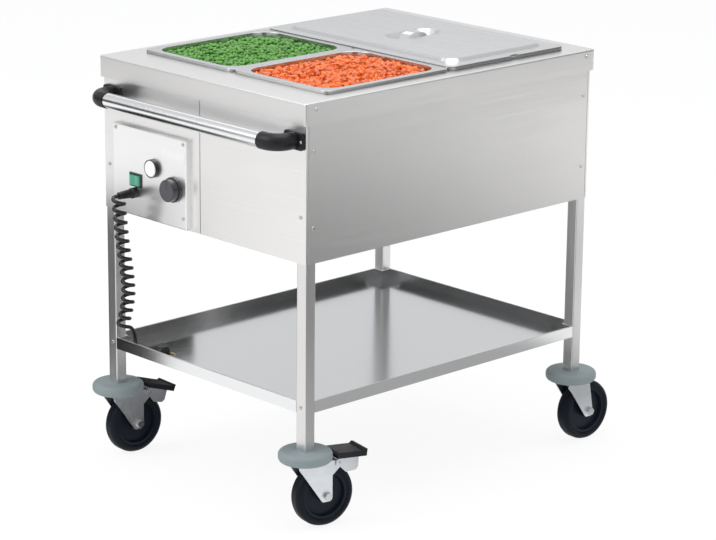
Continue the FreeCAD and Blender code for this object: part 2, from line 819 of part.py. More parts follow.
def make_food(label, length, width, x, y):
    """What the pan holds: filled to below its rim, with a low crown and a few mounds on top."""
    wall, clear = size("pan_sheet"), size("pan_clearance")
    level = size("rim_top") - size("food_gap")
    floor = size("rim_top") - size("pan_depth") + wall + clear
    sections = pan_sections(length, width, x, y, wall + clear, floor, level)
    long_one, wide_one, corner = sections[1][:3]
    step = size("food_shoulder")
    sections.append((long_one - 2 * step, wide_one - 2 * step, corner - step / 2, x, y, level + size("food_crown")))
    heap = tapered(sections)
    radius = size("mound_radius")
    top = level + size("food_crown") + size("mound_rise")
    mounds = []
    for across, along_y in MOUNDS:
        centre = Vector(x + across * long_one, y + along_y * wide_one, top - radius)
        mounds.append(Part.makeSphere(radius, centre))
    above = Part.makeBox(long_one - 2 * step, wide_one - 2 * step, size("food_gap"),
                         Vector(x - long_one / 2 + step, y - wide_one / 2 + step, level + size("food_crown") / 2))
    caps = mounds[0].fuse(mounds[1:]).common(above)
    feature(label, heap.fuse(caps).removeSplitter().Solids[0])


def make_pans():
    half_x = size("well_offset") - size("pan_length") / 2
    full_x = size("well_offset") + size("pan_length") / 2
    half_width = size("pan_width") / 2
    for label, food, y in (("half_pan_far", "peas", half_width / 2), ("half_pan_near", "carrots", -half_width / 2)):
        make_pan(label, size("pan_length"), half_width, half_x, y)
        make_food(food, size("pan_length"), half_width, half_x, y)
    make_pan("full_pan", size("pan_length"), size("pan_width"), full_x, 0.0)


def make_lid():
    """Pressed lid: flat border, raised field, and a sunk recess in the middle for the handle."""
    x = size("well_offset") + size("pan_length") / 2
    sheet_up = size("lid_sheet")
    low = size("rim_top") + size("pan_clearance")
    border = low + sheet_up
    rise = size("lid_step_rise")
    field = border + rise
    inset = size("lid_step_inset")
    length = size("pan_length") - 2 * size("pan_clearance")
    width = size("pan_width") - 2 * size("pan_clearance")
    corner = size("lid_corner")
    deep = size("lid_recess_depth")
    mouth_x, mouth_y = size("lid_recess_length"), size("lid_recess_width")

    def block(drop):
        """Everything under the lid's upper skin, or under its lower skin when dropped."""
        base = tapered([(length, width, size("rim_corner"), x, 0.0, border - 3 * deep - drop),
                        (length, width, size("rim_corner"), x, 0.0, border - drop)])
        raised = tapered([(length - 2 * inset, width - 2 * inset, corner + rise, x, 0.0, border - drop),
                          (length - 2 * (inset + rise), width - 2 * (inset + rise), corner, x, 0.0, field - drop)])
        recess = tapered([(mouth_x, mouth_y, size("lid_recess_corner"), x, 0.0, field - drop),
                          (mouth_x - 2 * deep, mouth_y - 2 * deep, size("lid_recess_foot"), x, 0.0,
                           field - deep - drop)])
        return base.fuse(raised).cut(recess)

    skin = block(0.0).cut(block(sheet_up))
    notch_x = x + size("notch_offset")
    reach = size("notch_reach")
    notch = Part.makeBox(size("notch_width"), 2 * reach, 3 * sheet_up,
                         Vector(notch_x - size("notch_width") / 2, -width / 2 - reach, low - sheet_up))
    feature("lid", skin.cut(notch).removeSplitter().Solids[0])
    make_lid_handle(x, field - deep)


def make_lid_handle(x, seat):
    """Bent strap that bridges the recess, with a foot at each end."""
    half, foot, bend = size("strap_span") / 2, size("strap_foot"), size("strap_bend")
    thick, rise = size("strap_thickness"), size("strap_rise")
    under = [(half, 0), (half - foot, 0), (half - foot - bend, rise - 2 * thick), (half - foot - 2 * bend, rise - thick)]
    over = [(half - foot - 2 * bend + thick / 2, rise), (half - foot - bend + thick / 2, rise - thick),
            (half - foot + thick / 2, thick), (half, thick)]
    profile = [(-px, pz) for px, pz in under] + under[::-1] + over[::-1] + [(-px, pz) for px, pz in over]
    points = [Vector(x + px, -size("strap_width") / 2, seat + pz) for px, pz in profile]
    face = Part.Face(Part.makePolygon(points + [points[0]]))
    strap = face.extrude(Vector(0, size("strap_width"), 0))
    bends = [e for e in strap.Edges if along(e, 1) and abs(e.Vertexes[0].X - x) < half - 1]
    feature("lid_handle", strap.makeFillet(size("strap_fillet"), bends))


def make_heating_element():
    """Tubular element in long bends under the basin, its ends turned down to the terminals."""
    diameter = size("element_tube")
    z = size("basin_bottom") - diameter / 2
    x_near = size("well_offset") - size("opening_length") / 2 + size("element_margin")
    x_far = size("well_offset") + size("opening_length") / 2 - size("element_margin")
    rows = [(n - 1.5) * size("element_row_gap") for n in range(4)]
    lead_x, low = x_near - size("element_lead"), z - size("element_drop")
    points = [Vector(lead_x, rows[0], low), Vector(lead_x, rows[0], z)]
    for first, second in (rows[:2], rows[2:]):
        points += [Vector(x_far, first, z), Vector(x_far, second, z)]
        points += [Vector(x_near, second, z), Vector(x_near, second + size("element_row_gap"), z)]
    points[-2:] = [Vector(lead_x, rows[-1], z), Vector(lead_x, rows[-1], low)]
    edges, radii = route_wire(points)
    feature("heating_element", swept_tube(edges, diameter))


# ---- push handle ----------------------------------------------------------------------------------------

def make_handle_tube():
    tube = cylinder("grip_diameter / 2", "grip_span + 2 * grip_insert", "grip_x",
                    "-grip_span / 2 - grip_insert", "grip_height", "Y")
    bore = cylinder("grip_diameter / 2 - grip_wall", "grip_span + 2 * grip_insert + 2", "grip_x",
                    "-grip_span / 2 - grip_insert - 1", "grip_height", "Y")
    keep(cut(tube, [bore]), "handle_tube")


def make_handle_bracket(label, side):
    """Moulded elbow: a flange on the casing, a bend, and a sleeve round the tube's end."""
    body = new_body(label)
    y = "%s * bracket_y" % side
    flange = new_sketch(body, "YZ_Plane", "-casing_x")
    rectangle(flange, "%s - flange_width / 2" % y, "grip_height - flange_height / 2",
              "%s + flange_width / 2" % y, "grip_height + flange_height / 2")
    pad(body, flange, "flange_thickness", back=True)
    fillet(body, "flange_height / 5", lambda e: along(e, 0))
    fillet(body, "flange_thickness / 3", lambda e: flat_at(e, 0, -size("casing_x") - size("flange_thickness")))
    ring = new_sketch(body, "YZ_Plane", "-casing_x - flange_thickness / 2")
    circle(ring, y, "grip_height", "sleeve_diameter / 2")
    spine = new_sketch(body, "XY_Plane", "grip_height")
    bend = size("bracket_bend")
    start = Vector(-size("casing_x") - size("flange_thickness") / 2, side * size("bracket_y"), 0)
    turn_in = Vector(size("grip_x") + bend, start.y, 0)
    turn_out = Vector(size("grip_x"), start.y - side * bend, 0)
    mouth = Vector(size("grip_x"), side * size("grip_span") / 2, 0)
    centre = Vector(turn_in.x, turn_out.y, 0)
    middle = centre + Vector(-1, side, 0).normalize() * bend
    sketch_line(spine, start, turn_in)
    spine.addGeometry(Part.Arc(turn_in, middle, turn_out))
    sketch_line(spine, turn_out, mouth)
    elbow = body.newObject("PartDesign::AdditivePipe", "Elbow")
    elbow.Profile = ring
    elbow.Spine = (spine, ["Edge1", "Edge2", "Edge3"])
    doc.recompute()
    bore = new_sketch(body, "XZ_Plane", "%s * grip_span / 2" % -side)
    circle(bore, "grip_x", "grip_height", "grip_diameter / 2")
    pocket(body, bore, "grip_insert", back=side < 0)
    hollow = new_sketch(body, "YZ_Plane", "-casing_x")
    circle(hollow, y, "grip_height", "sleeve_diameter / 2 - sleeve_wall")
    pocket(body, hollow, "bracket_hollow")


def sketch_line(sketch, start, end):
    sketch.addGeometry(Part.LineSegment(start, end))


# ---- control box ------------------------------------------------------------------------------------------

def make_control_box():
    """Shallow folded cover on the handle end that carries the controls."""
    body = new_body("control_box")
    blank = new_sketch(body, "YZ_Plane", "-casing_x")
    rectangle(blank, "box_inner_y", "box_bottom", "box_outer_y", "box_top")
    pad(body, blank, "box_depth", back=True)
    fillet(body, "box_radius", lambda e: along(e, 0))
    fillet(body, "box_radius", lambda e: flat_at(e, 0, size("box_face")))
    inside = new_sketch(body, "YZ_Plane", "-casing_x")
    rectangle(inside, "box_inner_y + panel_sheet", "box_bottom + panel_sheet",
              "box_outer_y - panel_sheet", "box_top - panel_sheet")
    pocket(body, inside, "box_depth - panel_sheet", back=False)
    holes = new_sketch(body, "YZ_Plane", "box_face - 1")
    circle(holes, "knob_y", "knob_z", "shaft_diameter / 2 + neck_wall")
    circle(holes, "lamp_y", "lamp_z", "lamp_diameter / 2 - lamp_shoulder")
    circle(holes, "switch_y", "gland_z", "gland_diameter / 2 - gland_shoulder")
    rectangle(holes, "switch_y - switch_width / 2 - switch_wall", "switch_z - switch_height / 2 - switch_wall",
              "switch_y + switch_width / 2 + switch_wall", "switch_z + switch_height / 2 + switch_wall")
    pocket(body, holes, "panel_sheet + 2", back=True)


def make_thermostat():
    """Capillary thermostat's body behind the cover, with its threaded neck in the cover's hole."""
    case = box("thermostat_depth", "thermostat_size", "thermostat_size", "box_face + panel_sheet + thermostat_gap",
               "knob_y - thermostat_size / 2", "knob_z - thermostat_size / 2")
    neck = cylinder("shaft_diameter / 2 + neck_wall", "panel_sheet + thermostat_gap", "box_face", "knob_y",
                    "knob_z", "X")
    bore = cylinder("shaft_diameter / 2 + shaft_clearance", "shaft_length", "box_face - 1", "knob_y", "knob_z", "X")
    keep(cut(fuse([case, neck]), [bore]), "thermostat")


def make_knob():
    """Knob with a skirt, a raised pointer and its shaft."""
    skirt = cylinder("knob_diameter / 2", "knob_skirt", "box_face - knob_gap - knob_skirt", "knob_y", "knob_z", "X")
    grip = cylinder("knob_diameter / 2 - knob_step", "knob_depth - knob_gap", "box_face - knob_depth", "knob_y",
                    "knob_z", "X")
    shaft = cylinder("shaft_diameter / 2", "shaft_length", "box_face - knob_depth / 2", "knob_y", "knob_z", "X")
    pointer = box("2 * knob_gap", "pointer_width", "knob_diameter / 2 - knob_step - knob_edge - pointer_width",
                  "box_face - knob_depth - knob_gap", "knob_y - pointer_width / 2", "knob_z + pointer_width")
    knob = fuse([skirt, grip, shaft, pointer])
    front = size("box_face") - size("knob_depth")
    edge = lambda e: flat_at(e, 0, front) and e.BoundBox.ZLength > size("knob_diameter") / 2
    keep(rounded(knob, size("knob_edge"), edge), "knob")


def make_lamp():
    """Round pilot lamp: a black bezel ring and a white domed lens."""
    ring = cylinder("lamp_diameter / 2", "lamp_depth", "box_face - lamp_depth", "lamp_y", "lamp_z", "X")
    neck = cylinder("lamp_diameter / 2 - lamp_shoulder", "fitting_neck", "box_face - 1", "lamp_y", "lamp_z", "X")
    seat = cylinder("lamp_diameter / 2 - lamp_ring", "lamp_depth - lamp_ring", "box_face - lamp_depth", "lamp_y",
                    "lamp_z", "X")
    keep(cut(fuse([ring, neck]), [seat]), "lamp_bezel")
    lens = cylinder("lamp_diameter / 2 - lamp_ring - lens_gap", "lamp_depth - lamp_ring + lens_rise",
                    "box_face - lamp_depth - lens_rise", "lamp_y", "lamp_z", "X")
    front = lambda e: flat_at(e, 0, size("box_face") - size("lamp_depth") - size("lens_rise"))
    keep(rounded(lens, size("lens_edge"), front), "lamp_lens")


def make_switch():
    """Rocker switch's bezel with its housing, bored for the rocker's pin."""
    flange = box("switch_flange", "switch_width + 2 * switch_border", "switch_height + 2 * switch_border",
                 "box_face - switch_flange", "switch_y - switch_width / 2 - switch_border",
                 "switch_z - switch_height / 2 - switch_border")
    case = box("switch_depth", "switch_width + 2 * switch_wall", "switch_height + 2 * switch_wall", "box_face",
               "switch_y - switch_width / 2 - switch_wall", "switch_z - switch_height / 2 - switch_wall")
    well = box("switch_well + switch_flange", "switch_width", "switch_height", "box_face - switch_flange",
               "switch_y - switch_width / 2", "switch_z - switch_height / 2")
    bore = cylinder("rocker_pin / 2 + shaft_clearance", "switch_height + 4 * switch_wall", "box_face + rocker_seat",
                    "switch_y", "switch_z - switch_height / 2 - 2 * switch_wall")
    keep(cut(fuse([flange, case]), [well, bore]), "switch_bezel")


def make_rocker():
    """The rocker, tilted to one side, with the round pin that it rocks on."""
    body = new_body("rocker")
    side = new_sketch(body, "XY_Plane", "-switch_height / 2 + rocker_gap")
    reach = "switch_width / 2 - rocker_play"
    nose = "-rocker_nose"
    outline(side, [("-rocker_waist", "-(%s)" % reach), (nose, "-(%s) + knob_step" % reach), ("-rocker_waist", "0"),
                   (nose, "%s - knob_step" % reach), ("-rocker_waist", reach), ("rocker_pin", reach),
                   ("rocker_pin + rocker_play", "0"), ("rocker_pin", "-(%s)" % reach)])
    pad(body, side, "switch_height - 2 * rocker_gap")
    pin = new_sketch(body, "XY_Plane", "-switch_height / 2 - switch_wall")
    circle(pin, "0", "0", "rocker_pin / 2")
    pad(body, pin, "switch_height + 2 * switch_wall")
    body.Placement = Placement(Vector(), Rotation(Vector(0, 0, 1), size("switch_tilt")))
    bind(body, Placement_Base_x="box_face + rocker_seat", Placement_Base_y="switch_y", Placement_Base_z="switch_z")


def make_gland():
    """Cable gland on the cover, and the tapered relief that the cord leaves through."""
    nut = cylinder("gland_diameter / 2", "gland_length", "box_face - gland_length", "switch_y", "gland_z", "X")
    neck = cylinder("gland_diameter / 2 - gland_shoulder", "fitting_neck", "box_face - 1", "switch_y", "gland_z", "X")
    bore = cylinder("cord_diameter / 2", "2 * (gland_length + fitting_neck)", "box_face - 2 * gland_length",
                    "switch_y", "gland_z", "X")
    gland = cut(fuse([nut, neck]), [bore])
    end = size("box_face") - size("gland_length")
    front = lambda e: flat_at(e, 0, end) and e.BoundBox.ZLength > size("gland_diameter") / 2
    keep(rounded(gland, size("gland_edge"), front), "cable_gland")
    cone = doc.addObject("Part::Cone", "Taper")
    cone.Placement = Placement(Vector(), Rotation(Vector(0, 1, 0), -90))
    bind(cone, Radius1="gland_diameter / 2 - relief_wall", Radius2="cord_diameter / 2 + relief_wall",
         Height="relief_length")
    bind(cone, Placement_Base_x="box_face - gland_length", Placement_Base_y="switch_y", Placement_Base_z="gland_z")
    keep(cone, "cord_relief")


# ---- curly cord ------------------------------------------------------------------------------------------------

CURLS = 15

# Middle line of the curls from the relief down to the tray's corner: offsets in mm along X and Y
# from the first curl, and the height above the floor.
CURL_LINE = [(0.0, 0.0, 572.0), (11.0, 6.0, 490.0), (34.0, 17.0, 410.0), (54.0, 38.0, 340.0),
             (60.0, 71.0, 276.0)]

# The cord's tail, from the last curl down into the corner of the tray and along its upstand.
TAIL = [(-362.0, 237.0, 264.0), (-362.0, 237.0, 250.0), (-366.0, 222.0, 238.6), (-366.0, 190.0, 238.6)]


def curl_centre(height_share):
    """The middle line of the curls, as a smooth curve through its points by height."""
    heights = [p[2] for p in CURL_LINE]
    z = heights[0] + (heights[-1] - heights[0]) * height_share
    spread = []
    for axis in (0, 1):
        value = 0.0
        for n, p in enumerate(CURL_LINE):
            weight = 1.0
            for m, other in enumerate(CURL_LINE):
                if m != n:
                    weight *= (z - other[2]) / (p[2] - other[2])
            value += weight * p[axis]
        spread.append(value)
    return Vector(spread[0], spread[1], z)


def make_cord():
    """One unbroken tube: straight out of the relief, the curls, and the tail down to the plug."""
    wire_radius = size("cord_diameter") / 2
    radius = size("curl_diameter") / 2 - wire_radius
    exit_x = size("box_face") - size("gland_length") - size("relief_length")
    lead = size("cord_diameter") * 1.2
    axis_x = exit_x - lead
    axis_y = size("switch_y") - radius
    drop = size("gland_z") - CURL_LINE[0][2]

    def curl(turns):
        share = turns / CURLS
        middle = curl_centre(share)
        angle = math.radians(90 + 360 * turns)
        return Vector(axis_x + middle.x + radius * math.cos(angle), axis_y + middle.y + radius * math.sin(angle),
                      middle.z + drop * (1 - share))

    def heading(turns):
        step = 1e-4
        return (curl(turns + step) - curl(turns - step)).normalize()

    quarters = CURLS * 4 - 2
    points = [curl(n / 4) for n in range(quarters + 1)]
    tangents = [heading(n / 4) for n in range(quarters + 1)]
    tangents[0] = Vector(-1, 0, 0)
    edges = [Part.LineSegment(Vector(exit_x, size("switch_y"), size("gland_z")), points[0]).toShape()]
    for n in range(quarters):
        edges += biarc(points[n], tangents[n], points[n + 1], tangents[n + 1])
    tail = [Vector(*p) for p in TAIL]
    first = points[-1] + tangents[-1] * size("curl_exit")
    runs, radii = route_wire([points[-1], first] + tail)
    edges += runs
    print("cord tail radii:", ["%.0f" % r for r in radii])
    print("least gap between curls: %.1f" % least_gap(edges, 2 * wire_radius, 2 * math.pi * radius / 2))
    path = Part.Wire(edges)
    print("cord length %.0f mm" % path.Length)
    feature("curly_cord", swept_tube(edges, 2 * wire_radius))


def biarc(p0, t0, p1, t1):
    """Two arcs from p0 to p1 that leave along t0, meet smoothly and arrive along t1."""
    chord = p1 - p0
    sum_t = t0 + t1
    a = 2 * (1 - t0.dot(t1))
    b = -2 * chord.dot(sum_t)
    c = chord.dot(chord)
    reach = (b + math.sqrt(b * b + 4 * a * c)) / (2 * a) if a > 1e-9 else -c / (2 * b)
    joint = (p0 + t0 * reach + p1 - t1 * reach) * 0.5
    return [arc_from(p0, t0, joint), arc_to(joint, p1, t1)]


def arc_from(start, tangent, end):
    """The arc that leaves start along the tangent and ends at end."""
    return arc_through(start, end, tangent, 1)


def arc_to(start, end, tangent):
    """The arc from start that arrives at end along the tangent."""
    return arc_through(start, end, tangent, -1)


def arc_through(start, end, tangent, sense):
    """The arc between two points whose tangent is known at its start (1) or its end (-1)."""
    chord = end - start
    half = chord.getAngle(tangent)
    if half < 1e-6:
        return Part.LineSegment(start, end).toShape()
    bulge = chord.Length / 2 * math.tan(half / 2)
    ahead = Vector(chord).normalize()
    outward = ((tangent - ahead * math.cos(half)) * sense).normalize()
    return Part.Arc(start, (start + end) * 0.5 + outward * bulge, end).toShape()


def least_gap(edges, diameter, apart):
    """The least clear distance between stretches of the tube that are not neighbours along it."""
    samples = []
    travelled = 0.0
    for edge in edges:
        count = max(2, int(edge.Length / 3))
        for n in range(count):
            where = edge.FirstParameter + (edge.LastParameter - edge.FirstParameter) * n / count
            samples.append((travelled + edge.Length * n / count, edge.valueAt(where)))
        travelled += edge.Length
    least = 1e9
    for n, (s0, p0) in enumerate(samples):
        for s1, p1 in samples[n + 1:]:
            if s1 - s0 > apart:
                least = min(least, p0.distanceToPoint(p1))
    return least - diameter


def make_plug():
    """Straight rubber plug lying on the tray, with its relief towards the cord and two pins."""
    end = Vector(*TAIL[-1])
    radius, neck_long = size("plug_diameter") / 2, size("plug_neck")
    z = size("tray_bottom") + size("tray_sheet") + radius
    onward = Vector(0, -1, 0)
    neck = Part.makeCone(size("plug_neck_start"), size("plug_neck_end"), neck_long, end, onward)
    body = Part.makeCylinder(radius, size("plug_length") - neck_long, Vector(end.x, end.y - neck_long, z), onward)
    feature("plug", body.fuse(neck).removeSplitter())
    face_y = end.y - size("plug_length")
    pins = [Part.makeCylinder(size("pin_diameter") / 2, size("pin_length"),
                              Vector(end.x + side * size("pin_spacing") / 2, face_y, z), onward) for side in (-1, 1)]
    feature("plug_pins", Part.makeCompound(pins))


# ---- casters ---------------------------------------------------------------------------------------------------------

def under_leg(spec):
    """Formulas for the place on the floor under the middle of a corner's leg."""
    return "%s * leg_x" % spec["x"], "%s * leg_y" % spec["y"]


def stand_at_corner(obj, spec):
    """Turn a body drawn about its caster's stem to the caster's heading, and put it at its corner."""
    x, y = under_leg(spec)
    obj.Placement = Placement(Vector(), Rotation(Vector(0, 0, 1), spec["heading"]))
    bind(obj, Placement_Base_x=x, Placement_Base_y=y)


def make_stems_and_bumpers():
    """Stems that hang the forks from the legs, and the round bumper discs clamped on them."""
    stems, discs = [], []
    head_low = "crown_top - crown_thickness - stem_gap - stem_head_height"
    inside = "leg_size - 2 * leg_wall"
    for spec in CASTERS.values():
        x, y = under_leg(spec)
        head = cylinder("stem_head_diameter / 2", "stem_head_height", x, y, head_low)
        pin = cylinder("stem_diameter / 2", "leg_bottom + insert_height - (%s)" % head_low, x, y, head_low)
        race = cylinder("race_diameter / 2", "bumper_bottom - crown_top - race_gap", x, y, "crown_top + race_gap")
        insert = box(inside, inside, "insert_height", "%s - (%s) / 2" % (x, inside), "%s - (%s) / 2" % (y, inside),
                     "leg_bottom")
        stems.append(fuse([head, pin, race, insert]))
        disc = cylinder("bumper_diameter / 2", "bumper_height", x, y, "bumper_bottom")
        hole = cylinder("stem_diameter / 2", "bumper_height + 2", x, y, "bumper_bottom - 1")
        soft = rounded(disc, size("bumper_height") * 0.4, lambda e: e.BoundBox.ZLength < 0.01)
        discs.append(cut(soft, [hole]))
    keep(group(stems), "caster_stems")
    keep(group(discs), "bumper_discs")


def make_fork(corner, spec):
    """Pressed fork: a crown on the stem and two arms down to the axle, one side as a profile."""
    body = new_body("fork_" + corner)
    side = new_sketch(body, "XZ_Plane")
    foot = "caster_trail"
    braked = spec["pedal_slope"] is not None
    if braked:
        rear = [("pedal_pivot_x + lobe_reach", "crown_top"), ("pedal_pivot_x + lobe_reach", "pedal_pivot_z - lobe_drop"),
                ("%s + arm_foot" % foot, "axle_z + lobe_foot")]
    else:
        rear = [("%s + arm_foot - arm_lean" % foot, "crown_top")]
    outline(side, [("-arm_front", "crown_top")] + rear +
            [("%s + arm_foot" % foot, "axle_z - arm_foot"), ("%s - arm_foot" % foot, "axle_z - arm_foot"),
             ("-arm_front", "crown_top - arm_shoulder")])
    pad(body, side, "fork_gap + 2 * fork_plate", middle=True)
    fillet(body, "arm_foot * 0.7", lambda e: along(e, 1) and e.BoundBox.ZMax < size("axle_z"))
    between = new_sketch(body, "XZ_Plane")
    rectangle(between, "-3 * arm_front", "0", "4 * crown_back", "crown_top - crown_thickness")
    pocket(body, between, "fork_gap", middle=True)
    if braked:
        behind = new_sketch(body, "XZ_Plane")
        rectangle(behind, "crown_back", "0", "4 * crown_back", "crown_top + crown_thickness")
        pocket(body, behind, "fork_gap", middle=True)
    crown = new_sketch(body, "XY_Plane", "crown_top - crown_thickness")
    circle(crown, "0", "0", "crown_radius")
    pad(body, crown, "crown_thickness")
    bore = new_sketch(body, "XY_Plane", "crown_top + 1")
    circle(bore, "0", "0", "stem_diameter / 2 + axle_clearance")
    pocket(body, bore, "crown_thickness + 2")
    holes = new_sketch(body, "XZ_Plane")
    circle(holes, foot, "axle_z", "axle_diameter / 2")
    if braked:
        circle(holes, "pedal_pivot_x", "pedal_pivot_z", "pedal_pin / 2")
    pocket(body, holes, "fork_gap + 4 * fork_plate", middle=True)
    stand_at_corner(body, spec)


def make_wheel(corner, spec):
    """Rubber tyre on a moulded hub, turned about the axle."""
    side, radius = "wheel_width / 2", "wheel_diameter / 2"
    inner = "%s - tyre_thickness" % radius
    right = [(inner, "%s - tyre_bevel" % side), ("%s + tyre_bevel" % inner, side),
             ("%s - shoulder_depth" % radius, side),
             ("%s - shoulder_depth * 0.3" % radius, "%s - shoulder_width * 0.4" % side),
             (radius, "%s - shoulder_width" % side)]
    tyre = turned_body("tyre_" + corner, right)
    bore = "axle_diameter / 2 + axle_clearance"
    right = [(bore, "%s + hub_boss_rise" % side), ("%s + hub_boss" % bore, "%s + hub_boss_rise" % side),
             ("%s + hub_boss + 2" % bore, "hub_web / 2"), ("%s - hub_rim - 2" % inner, "hub_web / 2"),
             ("%s - hub_rim" % inner, "%s - tyre_bevel" % side), (inner, "%s - tyre_bevel" % side)]
    hub = turned_body("hub_" + corner, right)
    x, y = under_leg(spec)
    turn = math.radians(spec["heading"])
    for obj in (tyre, hub):
        obj.Placement = Placement(Vector(), Rotation(Vector(0, 0, 1), spec["heading"])
                                  .multiply(Rotation(Vector(1, 0, 0), 90)))
        bind(obj, Placement_Base_x="%s + caster_trail * %.9f" % (x, math.cos(turn)),
             Placement_Base_y="%s + caster_trail * %.9f" % (y, math.sin(turn)),
             Placement_Base_z="axle_z")


def turned_body(label, half):
    """A body turned about Z from half a profile, which is mirrored to the other side."""
    body = new_body(label)
    section = new_sketch(body, "XZ_Plane")
    mirrored = [(radius, "-(%s)" % side) for radius, side in half]
    outline(section, mirrored + half[::-1])
    revolve(body, section, "Z_Axis")
    return body


def make_bolts(corner, spec):
    """The axle bolt with its head and nut and, on a braked caster, the pedal's pin."""
    half = size("fork_gap") / 2 + size("fork_plate")
    x, z = size("caster_trail"), size("axle_z")
    across = Vector(0, 1, 0)
    shank = Part.makeCylinder(size("axle_diameter") / 2, 2 * half + size("nut_height") + size("bolt_end"),
                              Vector(x, -half, z), across)
    head = hexagon(x, z, -half - size("bolt_head"), size("bolt_head"))
    nut = hexagon(x, z, half, size("nut_height"))
    solids = [shank.fuse([head, nut]).removeSplitter()]
    if spec["pedal_slope"] is not None:
        end = size("pedal_width") / 2 + size("pedal_pin_end")
        solids.append(Part.makeCylinder(size("pedal_pin") / 2, 2 * end,
                                        Vector(size("pedal_pivot_x"), -end, size("pedal_pivot_z")), across))
    obj = feature("bolts_" + corner, Part.makeCompound(solids))
    stand_at_corner(obj, spec)


def hexagon(x, z, y, length):
    """A bolt's head or nut round x, z, from y onwards."""
    radius = size("hexagon_radius")
    points = [Vector(x + radius * math.cos(math.radians(60 * n)), y, z + radius * math.sin(math.radians(60 * n)))
              for n in range(7)]
    return Part.Face(Part.makePolygon(points)).extrude(Vector(0, length, 0))


def lever_outline(points, slope, y):
    """Points given about the pedal's pin, turned up by the slope, as a closed face at that y."""
    turn = math.radians(slope)
    placed = []
    for px, pz in points:
        x = size("pedal_pivot_x") + px * math.cos(turn) - pz * math.sin(turn)
        z = size("pedal_pivot_z") + px * math.sin(turn) + pz * math.cos(turn)
        placed.append(Vector(x, y, z))
    return Part.Face(Part.makePolygon(placed + [placed[0]]))


def make_pedal(corner, spec):
    """Brake pedal: a folded steel blade hinged in the fork, and a moulded pad on top of it."""
    slope = spec["pedal_slope"]
    half, length, deep = size("pedal_width") / 2, size("pedal_length"), size("blade_depth")
    plate, pin = size("fork_plate"), size("pedal_pin")
    reach = length - size("pad_overhang")
    drop, web = size("blade_drop"), size("blade_web")
    side = [(-1.5 * pin, -pin), (0, -1.6 * pin), (0.35 * reach, -drop), (reach - pin, -0.9 * drop),
            (reach, -0.6 * drop), (reach, deep), (-0.5 * pin, deep), (-1.5 * pin, pin)]
    under = [(-2 * pin, -2 * drop), (reach + pin, -2 * drop), (reach + pin, deep - plate), (web, deep - plate),
             (web - plate, 2 * deep), (-2 * pin, 2 * deep)]
    blade = lever_outline(side, slope, -half).extrude(Vector(0, 2 * half, 0))
    channel = lever_outline(under, slope, -half + plate).extrude(Vector(0, 2 * (half - plate), 0))
    hole = Part.makeCylinder(pin / 2 + size("axle_clearance"), 4 * half,
                             Vector(size("pedal_pivot_x"), -2 * half, size("pedal_pivot_z")), Vector(0, 1, 0))
    obj = feature("pedal_blade_" + corner, blade.cut([channel, hole]).Solids[0])
    stand_at_corner(obj, spec)
    top, lip, start = deep + size("pad_thickness"), size("pad_lip"), size("pad_start")
    profile = [(start, deep), (length, deep), (length + 1, top + lip - 1), (length - lip, top + lip),
               (length - 2 * lip, top), (start + lip, top), (start, top - lip)]
    wide = half + size("pad_side")
    pad_solid = lever_outline(profile, slope, -wide).extrude(Vector(0, 2 * wide, 0))
    rims = [e for e in pad_solid.Edges if not along(e, 1) and on_slope(e, slope, top)]
    obj = feature("pedal_pad_" + corner, pad_solid.makeFillet(size("pad_side"), rims))
    stand_at_corner(obj, spec)


def on_slope(edge, slope, level):
    """True if both ends of the edge lie at that level above the pedal's pin, across its slope."""
    turn = math.radians(slope)
    for vertex in edge.Vertexes:
        dx = vertex.X - size("pedal_pivot_x")
        dz = vertex.Z - size("pedal_pivot_z")
        if not near(dz * math.cos(turn) - dx * math.sin(turn), level):
            return False
    return True


# ---- everything --------------------------------------------------------------------------------------------------------

make_worktop()
make_side_panel("near_side_panel", -1)
make_side_panel("far_side_panel", 1)
make_plain_end_panel()
make_handle_end_panels()
make_bottom_panel()
make_casing_screws()
for corner, spec in CASTERS.items():
    make_leg(corner, spec["x"], spec["y"])
make_lower_tray()
make_basin()
make_bars()
make_pans()
make_lid()
make_heating_element()
make_handle_tube()
make_handle_bracket("handle_bracket_near", -1)
make_handle_bracket("handle_bracket_far", 1)
make_control_box()
make_thermostat()
make_knob()
make_lamp()
make_switch()
make_rocker()
make_gland()
make_cord()
make_plug()
make_stems_and_bumpers()
for corner, spec in CASTERS.items():
    make_fork(corner, spec)
    make_wheel(corner, spec)
    make_bolts(corner, spec)
    if spec["pedal_slope"] is not None:
        make_pedal(corner, spec)
doc.recompute()

failed = [o.Label for o in doc.Objects if "Invalid" in o.State or "Error" in o.State]
for part in finished:
    if part.Shape.isNull() or not part.Shape.isValid() or not part.Shape.Solids:
        failed.append(part.Label)
if failed:
    raise RuntimeError("failed: " + ", ".join(failed))

# The frame's origin is on the floor, under the middle of the box around the whole trolley. The
# cord and its plug hang inside that box and don't count.
CORD_PIECES = {"curly_cord", "plug", "plug_pins"}
around = FreeCAD.BoundBox()
for part in finished:
    if part.Label not in CORD_PIECES:
        around.add(part.Shape.optimalBoundingBox(False, False))
shift = Vector(-(around.XMin + around.XMax) / 2, -(around.YMin + around.YMax) / 2, -around.ZMin)
print("moved by %.4f %.4f %.4f to the frame's origin" % (shift.x, shift.y, shift.z))

os.makedirs("parts", exist_ok=True)
for part in finished:
    shape = part.Shape.copy()
    shape.translate(shift)
    shape.exportStep("parts/%s.step" % part.Label)
print("wrote %d nodes" % len(finished))
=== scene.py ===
import math
import random

import bmesh
import bpy
from bpy.props import FloatProperty, FloatVectorProperty, IntProperty, PointerProperty
from mathutils import Matrix, Vector
from mathutils.bvhtree import BVHTree


